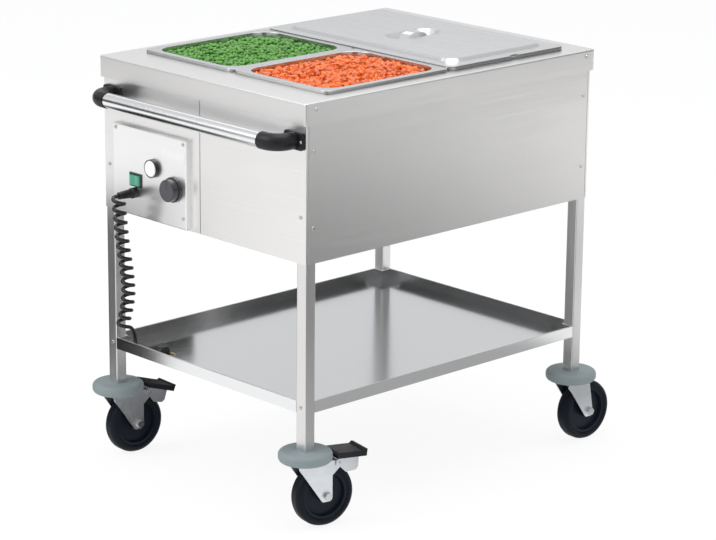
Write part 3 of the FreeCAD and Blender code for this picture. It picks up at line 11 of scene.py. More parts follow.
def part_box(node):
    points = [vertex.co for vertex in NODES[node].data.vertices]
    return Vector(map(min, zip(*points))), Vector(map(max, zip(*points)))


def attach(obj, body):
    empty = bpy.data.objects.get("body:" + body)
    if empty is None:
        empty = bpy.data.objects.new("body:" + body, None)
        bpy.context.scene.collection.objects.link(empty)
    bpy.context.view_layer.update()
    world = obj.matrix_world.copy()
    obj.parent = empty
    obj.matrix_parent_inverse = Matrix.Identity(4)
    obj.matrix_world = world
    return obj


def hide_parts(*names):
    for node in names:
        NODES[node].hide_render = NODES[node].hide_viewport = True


bl_info = {
    "name": "Heated Serving Trolley",
    "version": (1, 0, 0),
    "blender": (4, 5, 0),
    "location": "View3D > Sidebar > Trolley",
    "description": "Finishes, food, cord and studio for a heated serving trolley",
    "category": "Object",
}

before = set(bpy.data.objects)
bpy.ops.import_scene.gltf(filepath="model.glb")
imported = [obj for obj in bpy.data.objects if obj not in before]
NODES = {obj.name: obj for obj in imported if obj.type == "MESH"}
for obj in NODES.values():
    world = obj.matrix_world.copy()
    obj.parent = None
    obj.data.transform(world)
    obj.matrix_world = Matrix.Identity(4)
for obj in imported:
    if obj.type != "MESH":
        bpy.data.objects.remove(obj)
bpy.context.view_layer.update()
CORNERS = ("handle_near", "handle_far", "plain_near", "plain_far")

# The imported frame's origin is on the floor under the middle of the trolley's box. Places below that
# are measured from the middle of the casing are moved by this much, which is the casing's own place.
_low, _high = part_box("worktop")
CASING = Vector(((_low.x + _high.x) / 2, (_low.y + _high.y) / 2, 0.0))


# ---- settings that a user would change -----------------------------------------------------------

class FinishSettings(bpy.types.PropertyGroup):
    steel: FloatVectorProperty(
        name="Steel", description="Colour of the brushed stainless sheet", subtype="COLOR",
        size=3, min=0, max=1, default=(0.76, 0.752, 0.745))
    bright_steel: FloatVectorProperty(
        name="Bright steel", description="Colour of the polished pans, lid, tray and handle tube",
        subtype="COLOR", size=3, min=0, max=1, default=(0.84, 0.845, 0.85))
    zinc: FloatVectorProperty(
        name="Zinc", description="Colour of the plated forks and brake blades", subtype="COLOR",
        size=3, min=0, max=1, default=(0.74, 0.77, 0.80))
    bumper: FloatVectorProperty(
        name="Bumper", description="Colour of the rubber bumper discs", subtype="COLOR",
        size=3, min=0, max=1, default=(0.22, 0.263, 0.272))
    black: FloatVectorProperty(
        name="Black", description="Colour of the moulded brackets, knob and bezels", subtype="COLOR",
        size=3, min=0, max=1, default=(0.010, 0.010, 0.012))
    tyre: FloatVectorProperty(
        name="Tyre", description="Colour of the tyres", subtype="COLOR",
        size=3, min=0, max=1, default=(0.004, 0.006, 0.010))
    switch: FloatVectorProperty(
        name="Switch", description="Colour of the lit rocker", subtype="COLOR",
        size=3, min=0, max=1, default=(0.03, 0.28, 0.17))


class FoodSettings(bpy.types.PropertyGroup):
    pea_size: FloatProperty(
        name="Pea size", description="Diameter of one pea", unit="LENGTH", default=0.0088,
        min=0.004, max=0.02)
    dice_size: FloatProperty(
        name="Dice size", description="Edge of one piece of carrot", unit="LENGTH", default=0.0092,
        min=0.004, max=0.02)
    pea_colour: FloatVectorProperty(
        name="Peas", description="Colour of the peas", subtype="COLOR", size=3, min=0, max=1,
        default=(0.075, 0.27, 0.02))
    carrot_colour: FloatVectorProperty(
        name="Carrots", description="Colour of the carrots", subtype="COLOR", size=3, min=0, max=1,
        default=(0.74, 0.115, 0.005))
    depth: FloatProperty(
        name="Depth", description="How far apart the loose layers of food lie, as a share of a piece",
        default=0.5, min=0, max=1)


class CordSettings(bpy.types.PropertyGroup):
    diameter: FloatProperty(
        name="Cord diameter", description="Outside diameter of the cord", unit="LENGTH",
        default=0.0075, min=0.004, max=0.012)
    curl_diameter: FloatProperty(
        name="Curl diameter", description="Outside diameter of the curls", unit="LENGTH",
        default=0.029, min=0.015, max=0.05)
    curls: IntProperty(
        name="Curls", description="Number of curls; the last stops halfway", default=15, min=4, max=60)


class StageSettings(bpy.types.PropertyGroup):
    floor: FloatVectorProperty(
        name="Floor", description="Colour of the studio floor", subtype="COLOR", size=3, min=0, max=1,
        default=(0.9, 0.9, 0.9))
    surround: FloatProperty(
        name="Surround", description="Brightness of the studio's walls in the light and reflections",
        default=0.72, min=0, max=2)
    key: FloatProperty(
        name="Key light", description="Power of the large soft light, in watts", default=60,
        min=0, max=500)


# ---- shader helpers ------------------------------------------------------------------------------

def new_node(tree, kind, **values):
    """Add a node and set its sockets by name."""
    made = tree.nodes.new(kind)
    for name, value in values.items():
        made.inputs[name.replace("_", " ")].default_value = value
    return made


def new_group(name, inputs, outputs):
    """A shader node group with float or vector inputs (name, default) and named outputs."""
    tree = bpy.data.node_groups.new(name, "ShaderNodeTree")
    for label, default in inputs:
        kind = "NodeSocketFloat" if isinstance(default, float) else "NodeSocketVector"
        tree.interface.new_socket(name=label, in_out="INPUT", socket_type=kind).default_value = default
    for label in outputs:
        tree.interface.new_socket(name=label, in_out="OUTPUT", socket_type="NodeSocketFloat")
    return tree, tree.nodes.new("NodeGroupInput"), tree.nodes.new("NodeGroupOutput")


def place_group(tree, name, **values):
    """Put a group in a material and set its inputs."""
    made = tree.nodes.new("ShaderNodeGroup")
    made.node_tree = bpy.data.node_groups[name]
    for label, value in values.items():
        made.inputs[label].default_value = value
    return made


def ramp(tree, fac, low, high, start=0.0, end=1.0):
    """Map a value to a range, clamped."""
    made = new_node(tree, "ShaderNodeMapRange", From_Min=start, From_Max=end, To_Min=low, To_Max=high)
    tree.links.new(fac, made.inputs["Value"])
    return made.outputs["Result"]


def blend_colour(tree, fac, first, second):
    """Mix two colours by a value."""
    made = tree.nodes.new("ShaderNodeMix")
    made.data_type = "RGBA"
    tree.links.new(fac, made.inputs["Factor"])
    for socket, colour in ((made.inputs[6], first), (made.inputs[7], second)):
        if isinstance(colour, bpy.types.NodeSocket):
            tree.links.new(colour, socket)
        else:
            socket.default_value = (*colour, 1.0)
    return made.outputs[2]


def shade(colour, factor):
    """A colour made lighter or darker by a factor."""
    return tuple(min(1.0, c * factor) for c in colour)


# ---- shared effects ------------------------------------------------------------------------------

def build_grain_group():
    """Brushed grain: fine scratches drawn out along one axis by the Stretch input."""
    tree, given, made = new_group(
        "Brushed Grain", [("Stretch", (8.0, 900.0, 900.0)), ("Low", 0.26), ("High", 0.4)],
        ["Roughness", "Height", "Streak"])
    place = tree.nodes.new("ShaderNodeTexCoord")
    stretch = tree.nodes.new("ShaderNodeVectorMath")
    stretch.operation = "MULTIPLY"
    tree.links.new(place.outputs["Object"], stretch.inputs[0])
    tree.links.new(given.outputs["Stretch"], stretch.inputs[1])
    scratches = new_node(tree, "ShaderNodeTexNoise", Scale=1.0, Detail=4.0, Roughness=0.65)
    tree.links.new(stretch.outputs[0], scratches.inputs["Vector"])
    streaks = new_node(tree, "ShaderNodeTexNoise", Scale=0.3, Detail=3.0, Roughness=0.6)
    tree.links.new(stretch.outputs[0], streaks.inputs["Vector"])
    spread = new_node(tree, "ShaderNodeMapRange", From_Min=0.3, From_Max=0.7)
    tree.links.new(scratches.outputs["Fac"], spread.inputs["Value"])
    tree.links.new(given.outputs["Low"], spread.inputs["To Min"])
    tree.links.new(given.outputs["High"], spread.inputs["To Max"])
    tree.links.new(spread.outputs["Result"], made.inputs["Roughness"])
    tree.links.new(scratches.outputs["Fac"], made.inputs["Height"])
    tree.links.new(streaks.outputs["Fac"], made.inputs["Streak"])


def build_handling_group():
    """Handling marks: broad soft smudges and small specks, as one mask from 0 to 1."""
    tree, given, made = new_group("Handling", [("Size", 6.0), ("Contrast", 0.5)], ["Mask", "Specks"])
    place = tree.nodes.new("ShaderNodeTexCoord")
    broad = new_node(tree, "ShaderNodeTexNoise", Detail=5.0, Roughness=0.6, Distortion=0.4)
    tree.links.new(place.outputs["Object"], broad.inputs["Vector"])
    tree.links.new(given.outputs["Size"], broad.inputs["Scale"])
    scaled = tree.nodes.new("ShaderNodeMath")
    scaled.operation = "MULTIPLY"
    tree.links.new(broad.outputs["Fac"], scaled.inputs[0])
    tree.links.new(given.outputs["Contrast"], scaled.inputs[1])
    small = new_node(tree, "ShaderNodeTexNoise", Scale=260.0, Detail=2.0, Roughness=0.5)
    tree.links.new(place.outputs["Object"], small.inputs["Vector"])
    tree.links.new(scaled.outputs[0], made.inputs["Mask"])
    tree.links.new(small.outputs["Fac"], made.inputs["Specks"])


def new_material(name):
    """A material with its node tree and its shader."""
    material = bpy.data.materials.new(name)
    material.use_nodes = True
    tree = material.node_tree
    return material, tree, tree.nodes["Principled BSDF"]


def bump(tree, shader, height, strength, distance):
    """Raise the shader's surface by a height value."""
    made = new_node(tree, "ShaderNodeBump", Strength=strength, Distance=distance)
    tree.links.new(height, made.inputs["Height"])
    tree.links.new(made.outputs["Normal"], shader.inputs["Normal"])


GRAIN_DEPTH = 0.0001
SMUDGE_ROUGHNESS = 0.10             # what a full smudge adds to the roughness
CREASE_SHADE_LOW, CREASE_SHADE_HIGH = 0.3, 0.8  # painted crease shade: share of the unshaded colour in the deepest crease and on open sheet
ALONG_X, ALONG_Y, ALONG_Z = (5.0, 1100.0, 1100.0), (1100.0, 5.0, 1100.0), (1100.0, 1100.0, 5.0)
NO_GRAIN = (300.0, 300.0, 300.0)


def brushed_steel(name, colour, stretch, low, high, relief=0.05, shade_reach=0.0):
    """Stainless sheet: grain along one axis, handling smudges and, given a reach, painted shade in its
    creases.
    """
    material, tree, shader = new_material(name)
    shader.inputs["Metallic"].default_value = 1.0
    grain = place_group(tree, "Brushed Grain", Stretch=stretch, Low=low, High=high)
    marks = place_group(tree, "Handling", Size=3.0, Contrast=0.5)
    tint = blend_colour(tree, grain.outputs["Streak"], shade(colour, 0.97), shade(colour, 1.03))
    tint = blend_colour(tree, marks.outputs["Mask"], tint, shade(colour, 0.94))
    # Painted shade: ambient occlusion darkens the steel's colour in creases and rim gaps, where shade
    # falls.
    if shade_reach:
        occlusion = new_node(tree, "ShaderNodeAmbientOcclusion", Distance=shade_reach)
        unshaded_share = ramp(tree, occlusion.outputs["AO"], CREASE_SHADE_LOW, CREASE_SHADE_HIGH)
        tint = blend_colour(tree, unshaded_share, shade(colour, 0.1), tint)
    tree.links.new(tint, shader.inputs["Base Color"])
    rough = tree.nodes.new("ShaderNodeMath")
    rough.operation = "MULTIPLY_ADD"
    rough.inputs[1].default_value = SMUDGE_ROUGHNESS
    tree.links.new(marks.outputs["Mask"], rough.inputs[0])
    tree.links.new(grain.outputs["Roughness"], rough.inputs[2])
    tree.links.new(rough.outputs[0], shader.inputs["Roughness"])
    bump(tree, shader, grain.outputs["Height"], relief, GRAIN_DEPTH)
    return material


def plain_metal(name, colour, low, high):
    """Plated or turned metal: no grain, mottled in colour and gloss."""
    material, tree, shader = new_material(name)
    shader.inputs["Metallic"].default_value = 1.0
    marks = place_group(tree, "Handling", Size=22.0, Contrast=1.0)
    tree.links.new(blend_colour(tree, marks.outputs["Mask"], shade(colour, 1.12), shade(colour, 0.82)),
                   shader.inputs["Base Color"])
    tree.links.new(ramp(tree, marks.outputs["Specks"], low, high, 0.3, 0.7), shader.inputs["Roughness"])
    bump(tree, shader, marks.outputs["Specks"], 0.08, 0.0003)
    return material


def moulded(name, colour, low, high, relief=0.25, coat=0.0, lighten=1.9, shine=0.4):
    """Moulded plastic or rubber: fine spark-eroded texture and faint handling marks."""
    material, tree, shader = new_material(name)
    shader.inputs["Coat Weight"].default_value = coat
    shader.inputs["Coat Roughness"].default_value = 0.15
    shader.inputs["Specular IOR Level"].default_value = shine
    marks = place_group(tree, "Handling", Size=14.0, Contrast=0.9)
    tree.links.new(blend_colour(tree, marks.outputs["Mask"], colour, shade(colour, lighten)),
                   shader.inputs["Base Color"])
    tree.links.new(ramp(tree, marks.outputs["Mask"], low, high, 0.3, 0.65), shader.inputs["Roughness"])
    bump(tree, shader, marks.outputs["Specks"], relief, 0.0002)
    return material


def lit_plastic(name, colour, glow, strength):
    """Translucent plastic with a lamp behind it."""
    material, tree, shader = new_material(name)
    shader.inputs["Coat Weight"].default_value = 0.6
    shader.inputs["Emission Strength"].default_value = strength
    marks = place_group(tree, "Handling", Size=40.0, Contrast=0.8)
    tree.links.new(blend_colour(tree, marks.outputs["Mask"], colour, shade(colour, 0.8)),
                   shader.inputs["Base Color"])
    tree.links.new(blend_colour(tree, marks.outputs["Mask"], glow, shade(glow, 0.8)),
                   shader.inputs["Emission Color"])
    tree.links.new(ramp(tree, marks.outputs["Specks"], 0.2, 0.32), shader.inputs["Roughness"])
    return material


def cooked(name, colour, pale, dark):
    """Wet cooked vegetables: every piece differs in colour, with soft blotches over each."""
    material, tree, shader = new_material(name)
    shader.inputs["Coat Weight"].default_value = 0.35
    shader.inputs["Coat Roughness"].default_value = 0.12
    shader.inputs["Subsurface Weight"].default_value = 0.12
    shader.inputs["Subsurface Radius"].default_value = (0.004, 0.003, 0.002)
    piece = tree.nodes.new("ShaderNodeNewGeometry")
    marks = place_group(tree, "Handling", Size=160.0, Contrast=0.7)
    own = blend_colour(tree, piece.outputs["Random Per Island"], dark, pale)
    mixed = blend_colour(tree, marks.outputs["Mask"], own, colour)
    tree.links.new(mixed, shader.inputs["Base Color"])
    tree.links.new(ramp(tree, marks.outputs["Specks"], 0.28, 0.5, 0.3, 0.7), shader.inputs["Roughness"])
    bump(tree, shader, marks.outputs["Specks"], 0.3, 0.0006)
    return material


def coat_node(material, *names):
    """Give CAD nodes their material."""
    for name in names:
        for slot in NODES[name].material_slots:
            slot.material = material


def add_piece(name, mesh, body, material, smooth_angle=None):
    """Link a mesh as a piece of the trolley that rides on a body."""
    piece = bpy.data.objects.new(name, mesh)
    bpy.context.scene.collection.objects.link(piece)
    mesh.materials.append(material)
    for face in mesh.polygons:
        face.use_smooth = True
    if smooth_angle is not None:
        mesh.set_sharp_from_angle(angle=math.radians(smooth_angle))
    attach(piece, body)
    return piece


def mesh_from(name, points, faces):
    """A mesh from points and faces."""
    mesh = bpy.data.meshes.new(name)
    mesh.from_pydata(points, [], faces)
    mesh.update()
    return mesh


def lofted(name, rings):
    """A closed skin through rings of equally many points, capped at both ends."""
    count = len(rings[0])
    points = [p for ring in rings for p in ring]
    faces = []
    for level in range(len(rings) - 1):
        base = level * count
        for n in range(count):
            after = (n + 1) % count
            faces.append((base + n, base + after, base + count + after, base + count + n))
    faces.append(tuple(reversed(range(count))))
    faces.append(tuple(range((len(rings) - 1) * count, len(rings) * count)))
    mesh = mesh_from(name, points, faces)
    skin = bmesh.new()
    skin.from_mesh(mesh)
    bmesh.ops.recalc_face_normals(skin, faces=skin.faces)
    skin.to_mesh(mesh)
    skin.free()
    return mesh


# ---- steelwork -----------------------------------------------------------------------------------

class TROLLEY_OT_steelwork(bpy.types.Operator):
    """Finish the worktop, casing, legs, tray, handle and screws"""
    bl_idname = "trolley.steelwork"
    bl_label = "Steelwork"

    def execute(self, context):
        look = context.scene.trolley_finish
        steel = tuple(look.steel)
        bright = tuple(look.bright_steel)
        coat_node(brushed_steel("worktop_brushed", steel, ALONG_X, 0.25, 0.36),
                  "worktop", "basin", "pan_bars")
        coat_node(brushed_steel("side_brushed", steel, ALONG_X, 0.27, 0.38),
                  "near_side_panel", "far_side_panel", "bottom_panel")
        # Painted light: the end panels' steel is 10% lighter than the sides' to stand for the brighter
        # light they reflect.
        coat_node(brushed_steel("end_lit_brushed", shade(steel, 1.1), ALONG_Y, 0.24, 0.34),
                  "plain_end_panel", "control_end_panel", "service_end_panel")
        coat_node(brushed_steel("leg_brushed", steel, ALONG_Z, 0.24, 0.36),
                  *["leg_" + corner for corner in CORNERS])
        coat_node(brushed_steel("tray_polished", bright, ALONG_X, 0.10, 0.16), "lower_tray")
        coat_node(brushed_steel("grip_polished", bright, ALONG_Y, 0.14, 0.22), "handle_tube")
        coat_node(plain_metal("screw_steel", shade(steel, 0.8), 0.3, 0.42), "casing_screws")
        coat_node(plain_metal("element_steel", (0.25, 0.23, 0.22), 0.45, 0.6), "heating_element")
        coat_node(moulded("bracket_black", tuple(look.black), 0.34, 0.48, coat=0.1, shine=0.2),
                  "handle_bracket_near", "handle_bracket_far")
        return {"FINISHED"}


RIM_SHADE_REACH = 0.016                  # how near another face has to be for the painted crease shade


class TROLLEY_OT_pans(bpy.types.Operator):
    """Finish the pans and the lid"""
    bl_idname = "trolley.pans"
    bl_label = "Pans and lid"

    def execute(self, context):
        bright = tuple(context.scene.trolley_finish.bright_steel)
        # The pans and the lid get painted shade in their creases and along their rim gaps.
        coat_node(brushed_steel("pan_steel", bright, NO_GRAIN, 0.14, 0.22, 0.04, RIM_SHADE_REACH),
                  "half_pan_far", "half_pan_near", "full_pan")
        coat_node(brushed_steel("lid_steel", bright, ALONG_Y, 0.2, 0.3, 0.06, RIM_SHADE_REACH), "lid")
        coat_node(brushed_steel("strap_steel", bright, ALONG_X, 0.12, 0.18, 0.04), "lid_handle")
        return {"FINISHED"}


# ---- food ----------------------------------------------------------------------------------------

PAN_CORNER = 0.040                  # radius of the pans' upright corners
ROW_PITCH = 0.87                    # between rows of pieces, as a share of the pieces' own pitch
JITTER = 0.3                        # shift of a piece off its grid place, as a share of the pitch
WALL_GAP = 0.52                     # least distance from a pan's wall, as a share of the pitch
SINK = 0.4                          # depth of the first layer in the solid, as a share of the pitch
LAYER_FILL = (1.0, 0.8, 0.3)        # share of the places that each layer fills, from the bottom


def rounded_inside(x, y, half_x, half_y, radius):
    """How far a place lies inside a rectangle with rounded corners; negative outside."""
    dx = abs(x) - (half_x - radius)
    dy = abs(y) - (half_y - radius)
    if dx > 0 and dy > 0:
        return radius - math.hypot(dx, dy)
    return min(half_x - abs(x), half_y - abs(y))


def surface_of(node):
    """A search tree over a CAD solid's faces, which answers with its height at a place."""
    mesh = NODES[node].data
    faces = [tuple(face.vertices) for face in mesh.polygons]
    return BVHTree.FromPolygons([v.co for v in mesh.vertices], faces)


def heap_places(node, step, depth, dice):
    """Resting places for the loose pieces on a solid's top, in thinning layers on a jittered grid."""
    low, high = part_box(node)
    middle = (low + high) / 2
    half_x, half_y = (high.x - low.x) / 2, (high.y - low.y) / 2
    surface = surface_of(node)
    places = []
    for layer, share in enumerate(LAYER_FILL):
        for row in range(int(2 * half_y / (step * ROW_PITCH)) + 1):
            for column in range(int(2 * half_x / step) + 2):
                if dice.random() > share:
                    continue
                x = -half_x + (column + 0.5 * ((row + layer) % 2)) * step
                x += dice.uniform(-JITTER, JITTER) * step
                y = -half_y + row * step * ROW_PITCH + layer * step * 0.5
                y += dice.uniform(-JITTER, JITTER) * step
                if rounded_inside(x, y, half_x, half_y, PAN_CORNER) < step * WALL_GAP:
                    continue
                start = Vector((middle.x + x, middle.y + y, high.z + 0.1))
                hit = surface.ray_cast(start, Vector((0, 0, -1)))[0]
                if hit:
                    rise = (layer * depth - SINK + dice.uniform(-0.22, 0.16)) * step
                    places.append(hit + Vector((0, 0, rise)))
    return places


def pea_form():
    """One pea: a ball a little drawn in at its scar."""
    ball = bmesh.new()
    bmesh.ops.create_icosphere(ball, subdivisions=2, radius=0.5)
    for v in ball.verts:
        dimple = max(0.0, v.co.normalized().dot(Vector((0.3, 0.2, 0.93))) - 0.86)
        v.co *= 1 - dimple * 0.9
    form = [v.co.copy() for v in ball.verts], [[v.index for v in f.verts] for f in ball.faces]
    ball.free()
    return form


def dice_form():
    """One piece of diced carrot: a block with soft edges."""
    block = bmesh.new()
    bmesh.ops.create_cube(block, size=1.0)
    bmesh.ops.bevel(block, geom=block.edges[:], offset=0.17, segments=2, profile=0.6, affect="EDGES")
    form = [v.co.copy() for v in block.verts], [[v.index for v in f.verts] for f in block.faces]
    block.free()
    return form


def heap_mesh(name, form, places, sizes, dice):
    """Copies of one form at every place, each with a turn and a scale of its own."""
    form_points, form_faces = form
    points, faces = [], []
    for where in places:
        axis = Vector([dice.uniform(-1, 1) for _ in range(3)]).normalized()
        turn = Matrix.Rotation(dice.uniform(0, math.tau), 3, axis)
        scale = Vector([size * dice.uniform(0.86, 1.1) for size in sizes])
        base = len(points)
        for p in form_points:
            points.append(turn @ Vector((p.x * scale.x, p.y * scale.y, p.z * scale.z)) + where)
        faces.extend([base + n for n in face] for face in form_faces)
    return mesh_from(name, points, faces)


def make_heap(food, node, pan, form, sizes, material, name, seed):
    """The loose pieces on top of one pan's food, sunk partly into its solid."""
    dice = random.Random(seed)
    places = heap_places(node, max(sizes) * 0.93, food.depth, dice)
    mesh = heap_mesh(name, form, places, sizes, dice)
    return add_piece(name, mesh, pan, material)


class TROLLEY_OT_food(bpy.types.Operator):
    """Heap the peas and the diced carrots in the two half-size pans"""
    bl_idname = "trolley.food"
    bl_label = "Food"

    def execute(self, context):
        food = context.scene.trolley_food
        green, orange = tuple(food.pea_colour), tuple(food.carrot_colour)
        peas = cooked("pea_skin", green, shade(green, 1.5), shade(green, 0.6))
        carrots = cooked("carrot_flesh", orange, (0.96, 0.22, 0.012), shade(orange, 0.72))
        # Painted shade: the food solids under the loose pieces are the food's colours darkened, for the
        # shade between the pieces.
        pea_shade_bed = cooked("pea_shade_bed", shade(green, 0.3), shade(green, 0.36), shade(green, 0.26))
        carrot_shade_bed = cooked("carrot_shade_bed", shade(orange, 0.4), shade(orange, 0.45), shade(orange, 0.34))
        coat_node(pea_shade_bed, "peas")
        coat_node(carrot_shade_bed, "carrots")
        pea, edge = food.pea_size, food.dice_size
        make_heap(food, "peas", "half_pan_far", pea_form(), (pea, pea, pea * 0.95), peas,
                  "pea_heap", seed=8)
        make_heap(food, "carrots", "half_pan_near", dice_form(), (edge, edge * 0.95, edge * 0.8),
                  carrots, "carrot_heap", seed=11)
        return {"FINISHED"}


# ---- controls ------------------------------------------------------------------------------------

LABEL_MIDDLE = (0.0735, 0.665)      # on the cover, along Y from the casing's middle and above the floor
LABEL_SIZE = (0.071, 0.024)
LABEL_CORNER = 0.002
COVER_STEEL = (0.93, 0.93, 0.925)


def rounded_ring(half_x, half_y, radius, steps=4):
    """Points round a flat rectangle with rounded corners."""
    ring = []
    for quarter, (sx, sy) in enumerate(((1, 1), (-1, 1), (-1, -1), (1, -1))):
        for n in range(steps + 1):
            angle = math.radians(90 * quarter + 90 * n / steps)
            ring.append(Vector((sx * (half_x - radius) + radius * math.cos(angle),
                                sy * (half_y - radius) + radius * math.sin(angle))))
    return ring


def make_label(material):
    """Blank white label stuck on the cover above the knob."""
    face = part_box("control_box")[0].x
    y0, z0 = CASING.y + LABEL_MIDDLE[0], LABEL_MIDDLE[1]
    half_y, half_z = LABEL_SIZE[0] / 2, LABEL_SIZE[1] / 2
    rings = []
    for inset, depth in ((0.0, 0.0), (0.0, 0.0004), (0.0005, 0.0007)):
        flat = rounded_ring(half_y - inset, half_z - inset, LABEL_CORNER)
        rings.append([Vector((face - depth, y0 + p.x, z0 + p.y)) for p in flat])
    mesh = lofted("label_plate", rings)
    return add_piece("label_plate", mesh, "trolley", material, 30)


class TROLLEY_OT_controls(bpy.types.Operator):
    """Finish the control box, switch, lamp and knob, and add the blank label"""
    bl_idname = "trolley.controls"
    bl_label = "Controls"

    def execute(self, context):
        look = context.scene.trolley_finish
        black = tuple(look.black)
        coat_node(brushed_steel("cover_satin", COVER_STEEL, ALONG_Y, 0.26, 0.34, 0.03),
                  "control_box")
        # Painted light: the knob is the black moulding lightened 3.2 times, for the light on its front
        # face.
        coat_node(moulded("knob_lit_black", shade(black, 3.2), 0.3, 0.4, coat=0.5), "knob")
        coat_node(moulded("bezel_black", black, 0.3, 0.42, coat=0.2),
                  "lamp_bezel", "switch_bezel", "thermostat", "cable_gland")
        coat_node(lit_plastic("rocker_green", tuple(look.switch), tuple(look.switch), 0.35), "rocker")
        coat_node(lit_plastic("lens_white", (0.85, 0.85, 0.83), (1.0, 0.98, 0.94), 0.15), "lamp_lens")
        make_label(moulded("label_white", (0.86, 0.86, 0.85), 0.4, 0.5, 0.05, lighten=1.04))
        return {"FINISHED"}


# ---- curly cord ----------------------------------------------------------------------------------

# The route is drawn from the casing's middle, in metres: the middle line of the curls, as offsets
# along X and Y from the first curl with the height above the floor, and then the tail.
CURL_LINE = [(0.0, 0.0, 0.572), (0.011, 0.006, 0.490), (0.034, 0.017, 0.410), (0.054, 0.038, 0.340),
             (0.060, 0.071, 0.276)]
TAIL = [(-0.362, 0.237, 0.264), (-0.362, 0.237, 0.250), (-0.366, 0.222, 0.2386),
        (-0.366, 0.190, 0.2386)]
POINTS_PER_CURL = 16
LAST_CURL_LEFT = 0.5                # share of the last curl that isn't wound
RUN_OUT = 0.014                     # straight on from the last curl


def spline_curve(name, points, resolution):
    """A curve with one smooth spline that starts and ends at its control points."""
    curve = bpy.data.curves.new(name, "CURVE")
    curve.dimensions = "3D"
    curve.resolution_u = resolution
    spline = curve.splines.new("NURBS")
    spline.points.add(len(points) - 1)
    for point, where in zip(spline.points, points):
        point.co = (*where, 1.0)
    spline.order_u = 3
    spline.use_endpoint_u = True
    return curve


def smooth_line(points):
    """A smooth curve's own line through control points, as a list of close points."""
    curve = spline_curve("line", points, 24)
    holder = bpy.data.objects.new("line", curve)
    mesh = bpy.data.meshes.new_from_object(holder)
    line = [v.co.copy() for v in mesh.vertices]
    bpy.data.objects.remove(holder)
    bpy.data.curves.remove(curve)
    bpy.data.meshes.remove(mesh)
    return line


def point_at_height(line, z):
    """The place where a line that only goes down passes a height."""
    for upper, lower in zip(line, line[1:]):
        if upper.z >= z >= lower.z:
            share = (upper.z - z) / max(upper.z - lower.z, 1e-9)
            return upper.lerp(lower, share)
    return line[0] if z > line[0].z else line[-1]


def cord_route(settings):
    """Every point of the cord's spline, from the relief to the plug."""
    low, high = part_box("cord_relief")
    exit_point = Vector((low.x, (low.y + high.y) / 2, (low.z + high.z) / 2))
    radius = (settings.curl_diameter - settings.diameter) / 2
    lead = settings.diameter * 1.2
    axis = Vector((exit_point.x - lead, exit_point.y - radius, 0.0))
    middle = smooth_line([axis + Vector(p) for p in CURL_LINE])
    points = [exit_point, exit_point - Vector((lead * 0.5, 0, 0))]
    turns = settings.curls - LAST_CURL_LEFT
    steps = int(turns * POINTS_PER_CURL)
    top, bottom = CURL_LINE[0][2], CURL_LINE[-1][2]
    reach = radius / math.cos(math.pi / POINTS_PER_CURL) ** 0.5
    for n in range(steps + 1):
        turn = n / POINTS_PER_CURL
        where = point_at_height(middle, top + (bottom - top) * turn / settings.curls)
        angle = math.radians(90 + 360 * turn)
        points.append(where + Vector((reach * math.cos(angle), reach * math.sin(angle), 0.0)))
    onward = (points[-1] - points[-2]).normalized()
    points.append(points[-1] + onward * RUN_OUT)
    points += [CASING + Vector(p) for p in TAIL]
    return exit_point, points


def tube_curve(name, points, diameter):
    """A round tube on a smooth spline with those control points."""
    curve = spline_curve(name, points, 4)
    curve.bevel_depth = diameter / 2
    curve.bevel_resolution = 5
    curve.use_fill_caps = True
    return curve


def turned_rings(stations, start, direction, sides=28):
    """Rings of points round a straight axis; each station is a distance along it and a radius."""
    across = direction.orthogonal().normalized()
    up = direction.cross(across)
    rings = []
    for distance, radius in stations:
        middle = start + direction * distance
        ring = []
        for n in range(sides):
            angle = math.tau * n / sides
            ring.append(middle + across * (radius * math.cos(angle)) + up * (radius * math.sin(angle)))
        rings.append(ring)
    return rings


def make_relief(material):
    """Tapered relief with the slots that let it bend, as a stepped cone."""
    low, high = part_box("cord_relief")
    start = Vector((high.x, (low.y + high.y) / 2, (low.z + high.z) / 2))
    length = high.x - low.x
    wide, narrow = (high.z - low.z) / 2 + 0.0004, 0.0072
    stations = [(0.0, wide * 0.98)]
    ribs, slot = 5, 0.0014
    for n in range(ribs):
        begin = length * (0.14 + 0.8 * n / ribs)
        radius = wide + (narrow - wide) * (begin / length)
        gap = length * 0.8 / ribs
        stations += [(begin - gap * 0.18, radius), (begin, radius),
                     (begin + gap * 0.08, radius - slot), (begin + gap * 0.34, radius - slot),
                     (begin + gap * 0.42, radius * 0.985)]
    stations += [(length * 0.985, narrow), (length, narrow - 0.0006)]
    mesh = lofted("relief_sleeve", turned_rings(stations, start, Vector((-1, 0, 0))))
    piece = add_piece("relief_sleeve", mesh, "trolley", material, 35)
    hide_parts("cord_relief")
    return piece


